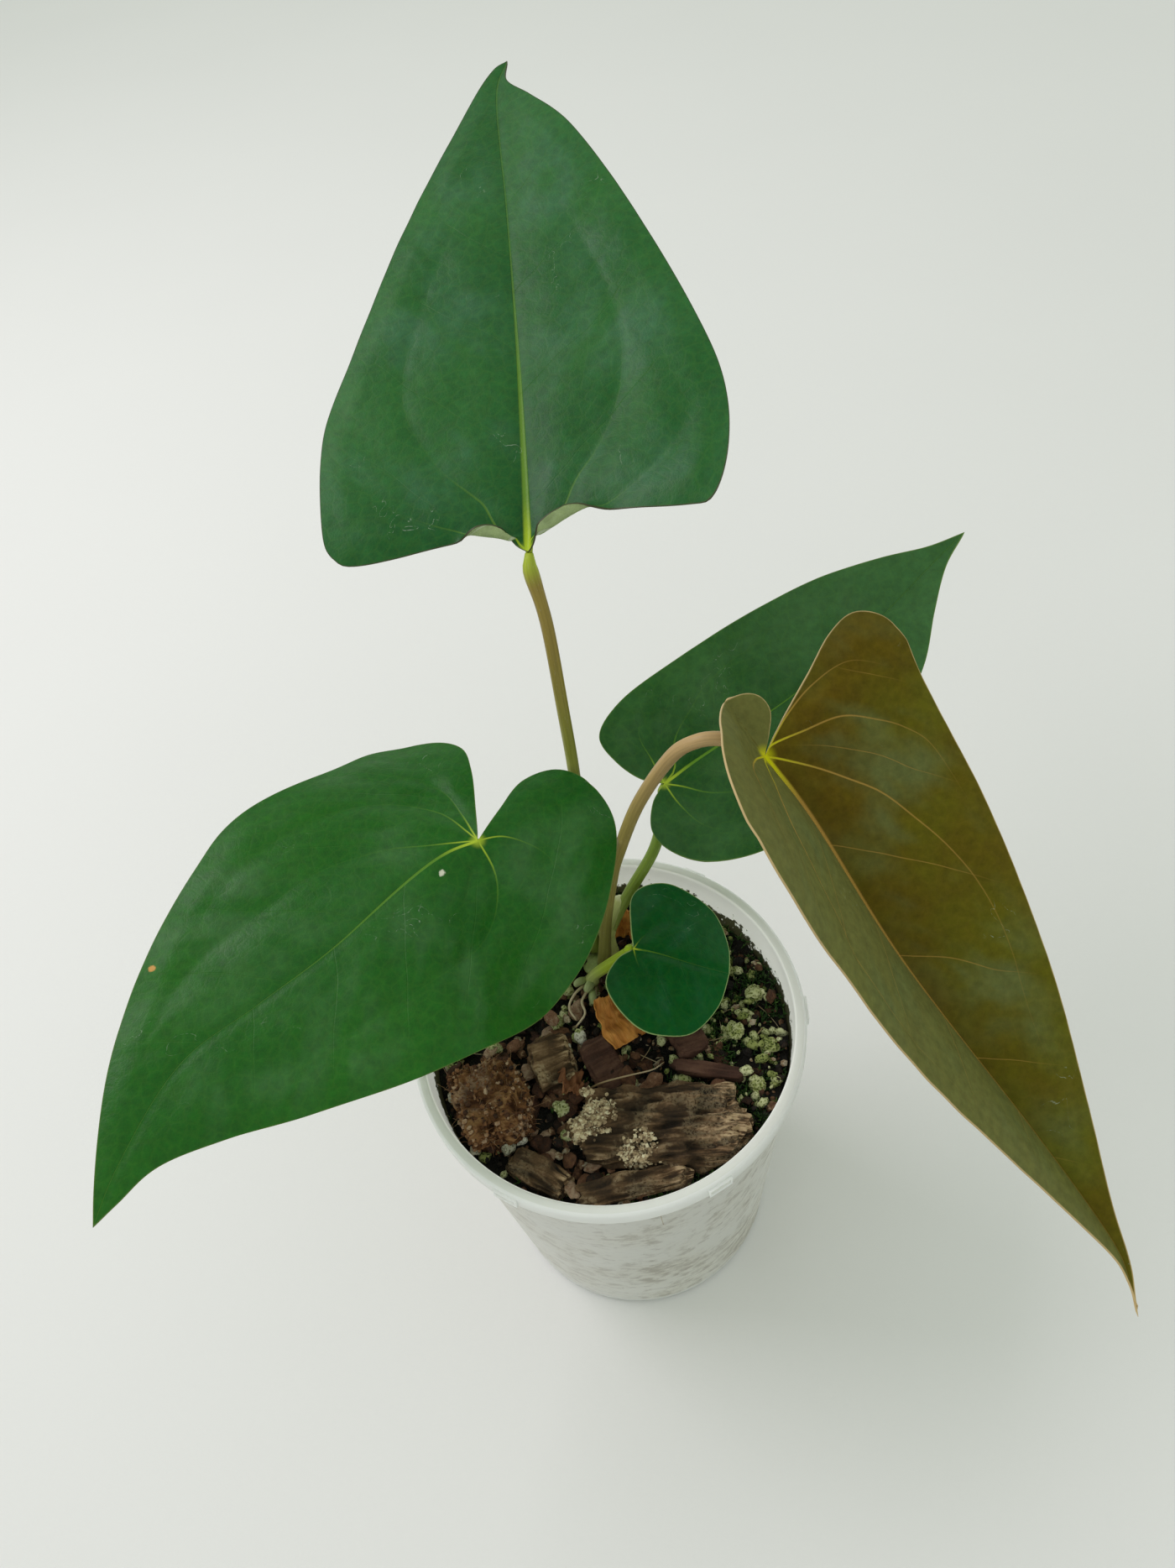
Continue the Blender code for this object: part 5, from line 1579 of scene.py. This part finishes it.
draw = random.Random(CRUST_GRAINS["seed"])
grains = []
while len(grains) < CRUST_GRAINS["count"]:
    point, out = draw.choice(slab_points)
    for x, y, length, width, turn in CRUSTS:
        turn = math.radians(turn)
        along = ((point.x - x) * math.cos(turn) + (point.y - y) * math.sin(turn)) / length
        across = ((point.y - y) * math.cos(turn) - (point.x - x) * math.sin(turn)) / width
        if math.hypot(along, across) + 0.5 * noise.noise(point / 2.2) < draw.uniform(0.7, 1.0):
            grains.append(point + out * draw.uniform(-0.1, 0.35)
                          + Vector((draw.uniform(-0.4, 0.4), draw.uniform(-0.4, 0.4), 0)))
            break
crust = add_piece("slab_crust", lumps_at(grains, draw, CRUST_GRAINS),
                  build_grit_material("pale_crust", CRUST_GRAIN_COLOURS, 1200, 0.15 * MM))
crust.data.shade_flat()
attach(crust, "root")


# ------------------------------------------------------------------ husk chunk
# A chopped block of coconut husk at the left: springy rust-brown pith packed with
# short fibres, many of which stand out of its torn faces.
COIR = {"centre": (-35, -15.5, 107.6), "size": (18, 22, 12), "turns": (0, 0, 14),
        "cuts": 34, "furrow": 1.7, "crust": 0.25, "tone": 0.5, "slope": 0.5}
COIR_COLOURS = ((0.0, (0.014, 0.006, 0.003)), (0.35, (0.070, 0.026, 0.010)),
                (0.6, (0.175, 0.075, 0.026)), (0.85, (0.32, 0.17, 0.07)))
COIR_SEED = 23
COIR_HAIRS = 170
HAIR_LENGTH = (1.6, 4.2)
HAIR_RADIUS = 0.13
HAIR_COLOURS = ((0.13, 0.06, 0.025), (0.24, 0.12, 0.05), (0.34, 0.20, 0.09), (0.36, 0.24, 0.12))
COIR_CRUMBS = {"count": 620, "sizes": (0.5, 1.9), "flat": (0.4, 0.9), "bias": 1.6, "detail": 1}
COIR_CRUMB_COLOURS = ((0.0, (0.025, 0.010, 0.004)), (0.4, (0.12, 0.045, 0.016)),
                      (0.75, (0.28, 0.13, 0.05)), (1.0, (0.50, 0.36, 0.24)))
COIR_CRUST_COLOUR = (0.42, 0.36, 0.30)

material, tree, shader = new_material("coir_pith", Specular_IOR_Level=0.25)
grain = use_group(tree, fibrous_grain, {"Place": object_place(tree), "Tone": COIR["tone"],
                                        "Fibre Scale": 800.0, "Crust": COIR["crust"],
                                        "Striped": 0.0})
colour = mix(tree, grain["Crust"], ramp(tree, grain["Tone"], COIR_COLOURS), COIR_CRUST_COLOUR)
dress(tree, shader, colour, grain["Roughness"], grain["Height"], 0.7 * MM)
bm = rough_lump(COIR, (0.45, 0.25, 0.6), 0.6)
hair_roots = upper_points(bm, LUMP_SHOWS)
coir = add_piece("coir_block", bm, material)
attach(coir, "root")
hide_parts("coir_chunk")


def add_hair(bm, root, out, length, radius, draw, sides=3, rings=4):
    """One curved hair in mm that leaves root along out and droops a little."""
    bend = Vector((draw.uniform(-1, 1), draw.uniform(-1, 1), draw.uniform(-1, 0.3)))
    points = []
    for step in range(rings):
        share = step / (rings - 1)
        points.append(root + (out * share + bend * 0.45 * share ** 2) * length)
    radii = [radius * (1 - 0.6 * step / (rings - 1)) for step in range(rings)]
    sweep(bm, np.array(points), radii, sides)


draw = random.Random(COIR_SEED)


def add_coir_hair(bm, root_and_way):
    """A hair that leans away at random from the face that it grows out of."""
    root, out = root_and_way
    lean = Vector((draw.uniform(-1, 1), draw.uniform(-1, 1), draw.uniform(-0.4, 0.4)))
    out = (out * 0.5 + lean).normalized()
    add_hair(bm, root - out * 0.4, out, draw.uniform(*HAIR_LENGTH), HAIR_RADIUS, draw)


bm = gather([draw.choice(hair_roots) for index in range(COIR_HAIRS)], add_coir_hair)
hairs = add_closed_piece("coir_hairs", bm, build_stalk_material("coir_hairs", HAIR_COLOURS))
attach(hairs, "root")

grains = [point + out * draw.uniform(-0.1, 0.5) for point, out in
          (draw.choice(hair_roots) for index in range(COIR_CRUMBS["count"]))]
pith = add_piece("coir_crumbs", lumps_at(grains, draw, COIR_CRUMBS),
                 build_grit_material("coir_crumbs", COIR_CRUMB_COLOURS, 1200, 0.2 * MM))
pith.data.shade_flat()
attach(pith, "root")


# ------------------------------------------------------------------ pumice
# Crushed volcanic grains, knobbly and full of tiny pits, grey-white but tinted green by
# the algae that grows in their hollows.  The large ones lie mostly at the right; a few
# clean ones are scattered at the left and in front.  Each is (x, y, width).
PUMICE = [
    (36, 16, 5.6), (43, 6, 5.6), (35, -4.5, 6.2), (43.5, -11, 5.4), (37.5, -21.5, 4.8),
    (29.5, 8.5, 5.0), (33.5, 26, 5.6), (-46, -1.5, 4.6), (-15, 8, 5.0), (-9, 2.5, 4.6),
    (-34, 3, 5.4), (-16.5, -18.5, 4.8), (12.5, 6, 4.4), (20, 34, 5.2),
]
PUMICE_SHAPE = (1, 0.88, 0.8)   # length, depth and height for a width of 1
GRITS = {"count": 380, "seed": 31, "radius": 49, "rise": 3.0, "sizes": (0.9, 4.2),
         "flat": (0.7, 1.0), "bias": 1.7, "detail": 2}
CLEAN = {"seed": 61, "rise": 3.2, "sizes": (2.6, 4.2), "flat": (0.7, 1.0), "bias": 1.0,
         "detail": 3}
CLEAN_PLACES = [(-46, -11), (-43, -10), (-43, -18.5), (-32, -27.5), (-41, -27), (-17, 0),
                (-14.4, 2.6), (-12.6, -1.6), (-8.6, 1.5), (-29, -25.5), (24, -22), (27, -26)]
CLEAN_COLOURS = ((0.0, (0.06, 0.05, 0.025)), (0.3, (0.22, 0.20, 0.12)),
                 (0.6, (0.50, 0.48, 0.36)), (0.95, (0.78, 0.76, 0.66)))
PUMICE_COLOURS = ((0.0, (0.018, 0.032, 0.006)), (0.32, (0.085, 0.120, 0.022)),
                  (0.58, (0.29, 0.33, 0.10)), (0.95, (0.68, 0.69, 0.40)))


def build_pumice_material(name, stops):
    """Dull stone, darker and greener in its pits."""
    material, tree, shader = new_material(name, Specular_IOR_Level=0.25)
    place = object_place(tree)
    tone = attribute(tree, "tone")["Fac"]
    pits = fade(tree, cells(tree, place, 1500), 0.12, 0.5)
    lumps = cloud(tree, place, 500, 4, 0.6)
    value = calc(tree, "MULTIPLY_ADD", pits, 0.35, times(tree, lumps, 0.55))
    value = calc(tree, "ADD", value, calc(tree, "MULTIPLY_ADD", tone, 0.5, -0.15), clamp=True)
    rough = fade(tree, lumps, 0.3, 0.7, 0.8, 0.95)
    dress(tree, shader, ramp(tree, value, stops), rough, calc(tree, "ADD", pits, lumps), 0.3 * MM)
    return material


pumice_material = build_pumice_material("pumice", PUMICE_COLOURS)
for index, (x, y, width) in enumerate(PUMICE):
    bm = bmesh.new()
    tone = bm.verts.layers.float.new("tone")
    bmesh.ops.create_icosphere(bm, subdivisions=4, radius=0.5)
    seed = Vector((x, y, width))
    for vertex in bm.verts:
        knobs = 1 - 2.6 * abs(noise.noise(vertex.co * 3.6 + seed))
        lump = noise.noise(vertex.co * 2.1 + seed)
        pits = noise.noise(vertex.co * 11 + seed)
        vertex.co *= 0.90 + 0.20 * knobs + 0.42 * lump + 0.09 * pits
        vertex[tone] = 0.30 + 0.42 * knobs + 0.4 * noise.noise(seed)
    rest = MIX_TOP + width * 0.42 + 1.1
    size = width * Vector(PUMICE_SHAPE) * MM
    place = (Matrix.Translation(Vector((x, y, rest)) * MM)
             @ piece_turn((0, 12 * index, 47 * index)) @ Matrix.Diagonal((*size, 1)))
    bmesh.ops.transform(bm, matrix=place, verts=bm.verts)
    grain = add_closed_piece(f"pumice_{index + 1:02d}", bm, pumice_material)
    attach(grain, "root")
    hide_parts(f"pumice_grain_{index + 1:02d}")


def grit_share(x, y):
    """Small grains are thick on the right and sparse elsewhere."""
    right = min(1, max(0, (x - 8) / 16))
    left = 0.35 if -24 < x < 5 and -8 < y < 22 else 0.12
    return max(right * (0.9 if y > -28 else 0.3), left)


grit = add_piece("pumice_fines", heap_on_mix(GRITS, grit_share), pumice_material)
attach(grit, "root")

points = [(x, y, mix_height(x, y) + CLEAN["rise"]) for x, y in CLEAN_PLACES]
clean = add_piece("clean_pumice", lumps_at(points, random.Random(CLEAN["seed"]), CLEAN),
                  build_pumice_material("clean_pumice", CLEAN_COLOURS))
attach(clean, "root")


# ------------------------------------------------------------------ dry sheaths
# Papery brown remains of the sheaths that wrapped young leaves: thin, cupped and ribbed
# along their length, with torn and curled ends.  A rusty flake of bark, as thin as they
# are, lies beside them.
SCRAPS = {
    "dry_sheath_front": {"centre": (2.2, 3.4, 108.6), "width": 12, "length": 15,
                         "turns": (18, 14, 28), "curl": 3.4},
    "dry_sheath_rear": {"centre": (10.5, 35.5, 108.4), "width": 7, "length": 9.5,
                        "turns": (64, 0, -18), "curl": 1.6},
    "bark_flake": {"centre": (-13.2, -13.0, 108.2), "width": 7, "length": 11,
                   "turns": (30, -25, 165), "curl": 1.2},
}
SCRAP_THICKNESS = 0.22 * MM
SCRAP_COLOURS = ((0.0, (0.16, 0.045, 0.010)), (0.35, (0.46, 0.15, 0.025)),
                 (0.6, (0.72, 0.30, 0.06)), (0.85, (0.78, 0.52, 0.18)), (1.0, (0.55, 0.55, 0.16)))
FLAKE_COLOURS = ((0.0, (0.030, 0.010, 0.004)), (0.5, (0.19, 0.065, 0.020)),
                 (0.9, (0.42, 0.20, 0.09)))


def build_papery_material(name, stops):
    """A thin dry skin with ribs along it."""
    material, tree, shader = new_material(name, Specular_IOR_Level=0.4)
    skin = attribute(tree, "skin")["Vector"]
    ribs = node(tree, "Mapping", {"Vector": skin, "Scale": (9, 0.7, 1)}).outputs[0]
    streaks = cloud(tree, ribs, 1.6, 4, 0.6)
    stain = cloud(tree, object_place(tree), 260, 3)
    value = calc(tree, "MULTIPLY_ADD", streaks, 0.6, times(tree, stain, 0.5))
    dress(tree, shader, ramp(tree, value, stops), fade(tree, streaks, 0.2, 0.8, 0.5, 0.75),
          streaks, 0.3 * MM)
    return material


def torn_scrap(spec):
    """A thin sheet, ribbed, cupped and crumpled, narrower and torn at its far end."""
    bm = bmesh.new()
    bmesh.ops.create_grid(bm, x_segments=36, y_segments=44, size=0.5)
    skin = bm.verts.layers.float_vector.new("skin")
    seed = Vector(spec["centre"])
    for vertex in bm.verts:
        x, y = vertex.co.x, vertex.co.y
        vertex[skin] = (x * 4, y * 4, 0)
        tear = 0.12 * noise.noise(Vector((x * 9, 0, 0)) + seed) * (1 + y)
        narrow = 1 - 1.0 * max(0, y) ** 1.4 + 0.18 * noise.noise(Vector((0, y * 5, 0)) + seed)
        cup = spec["curl"] * (1.4 * x ** 2 + 0.5 * y ** 2 + 1.6 * max(0, abs(x) - 0.36) * (1 + y))
        ribs = 0.10 * math.sin(x * 62 + 2 * y)
        crease = 1 - 2.2 * abs(noise.noise(Vector((x * 3.4, y * 3.4, 4)) + seed))
        crumple = 2.0 * noise.noise(Vector((x * 3, y * 3, 0)) + seed) + 1.5 * crease
        vertex.co = Vector((x * narrow * spec["width"], (y + tear * abs(y)) * spec["length"],
                            cup + ribs + crumple)) * MM
    place = Matrix.Translation(seed * MM) @ piece_turn(spec["turns"])
    bmesh.ops.transform(bm, matrix=place, verts=bm.verts)
    return bm


papery = build_papery_material("dry_sheath_paper", SCRAP_COLOURS)
flaky = build_papery_material("rusty_flake", FLAKE_COLOURS)
for name, spec in SCRAPS.items():
    scrap = add_closed_piece(name + "_paper", torn_scrap(spec),
                             flaky if name == "bark_flake" else papery)
    thickness = scrap.modifiers.new("thickness", "SOLIDIFY")
    thickness.thickness = SCRAP_THICKNESS
    thickness.offset = 0
    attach(scrap, "root")
    if name != "bark_flake":
        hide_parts(name)


# ------------------------------------------------------------------ root fibres
# Thin dry straw-coloured rootlets: one long one lies over the gap behind the slab, and
# short ones lie about among the crumbs.
FIBRE = [(-8, -15, 106.6), (-4, -15.2, 109.4), (3, -15.2, 110.8), (10, -14.4, 110.2),
         (13.5, -11.5, 107.4)]
FIBRE_RADIUS = 0.33
FIBRE_RINGS = 50
LOOSE_FIBRES = {"count": 60, "seed": 47, "radius": 47}
ROOTLET_LENGTH = (3, 9)
ROOTLET_RADIUS = (0.12, 0.24)
FIBRE_COLOURS = ((0.30, 0.20, 0.10), (0.42, 0.31, 0.18), (0.52, 0.42, 0.27), (0.40, 0.28, 0.15))

fibre_material = build_stalk_material("root_fibre", FIBRE_COLOURS)
bm = bmesh.new()
radii = FIBRE_RADIUS * (1 - 0.55 * np.linspace(0, 1, FIBRE_RINGS))
sweep(bm, smooth_path(FIBRE, FIBRE_RINGS), radii, 8)
fibre = add_closed_piece("long_root_fibre", bm, fibre_material)
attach(fibre, "root")
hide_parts("root_fibre")

places, draw = scatter(LOOSE_FIBRES, anywhere)


def add_rootlet(bm, place):
    """A short fibre that lies nearly level."""
    angle = draw.uniform(0, math.tau)
    out = Vector((math.cos(angle), math.sin(angle), draw.uniform(-0.05, 0.25)))
    root = Vector((*place, mix_height(*place) + draw.uniform(0.8, 2.2)))
    add_hair(bm, root, out, draw.uniform(*ROOTLET_LENGTH), draw.uniform(*ROOTLET_RADIUS), draw,
             4, 6)


loose = add_closed_piece("loose_fibres", gather(places, add_rootlet), fibre_material)
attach(loose, "root")

# Living roots that break out of the crown: blunt grey-green nubs and pale curled ones
NUBS = [((-2.5, 19.5, 104.6), (-5.0, 14.5, 107.2), 1.5),
        ((-4.5, 20, 104.6), (-8.2, 17.5, 107.6), 1.3),
        ((-3.0, 16, 104.4), (-3.6, 10.8, 106.8), 1.2),
        ((1.5, 17, 104.6), (3.2, 13.0, 106.4), 1.1)]
NUB_RINGS = 16
CURL_RINGS = 28
CURLS = [[(-4, 19, 105), (-8, 14.5, 108.2), (-10.5, 10.5, 107.6), (-9, 7, 105.6)],
         [(-3, 18, 105), (-6.5, 11.5, 108.4), (-6.2, 7.5, 107.8), (-9.4, 4.8, 106)],
         [(-2, 17, 105), (-2.8, 9, 107.8), (0.5, 5.6, 107.2), (3.6, 3.2, 105.6)]]
NUB_COLOURS = ((0.26, 0.30, 0.12), (0.30, 0.36, 0.15), (0.36, 0.42, 0.20), (0.44, 0.50, 0.24))
CURL_COLOURS = ((0.36, 0.28, 0.16), (0.55, 0.45, 0.30), (0.62, 0.52, 0.36), (0.48, 0.34, 0.20))

bm = bmesh.new()
for start, end, radius in NUBS:
    start, end = Vector(start), Vector(end)
    middle = (start + end) / 2 + Vector((0, 0, 0.8))
    share = np.linspace(0, 1, NUB_RINGS)
    sweep(bm, smooth_path([tuple(start), tuple(middle), tuple(end)], NUB_RINGS),
          radius * np.sqrt(np.clip(1.04 - share ** 5, 0.05, 1)), 14)
ripple(bm, 0.22, 1.8)
nubs = add_closed_piece("root_nubs", bm, build_stalk_material("root_nubs", NUB_COLOURS))
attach(nubs, "root")

bm = bmesh.new()
for route in CURLS:
    sweep(bm, smooth_path(route, CURL_RINGS), 0.5 - 0.22 * np.linspace(0, 1, CURL_RINGS), 8)
curls = add_closed_piece("root_curls", bm, build_stalk_material("root_curls", CURL_COLOURS))
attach(curls, "root")


# ------------------------------------------------------------------ sizes
# A helper that writes a box as plain numbers.
def plain(box):
    """A box as two lists of plain numbers."""
    return [[float(value) for value in corner] for corner in box]
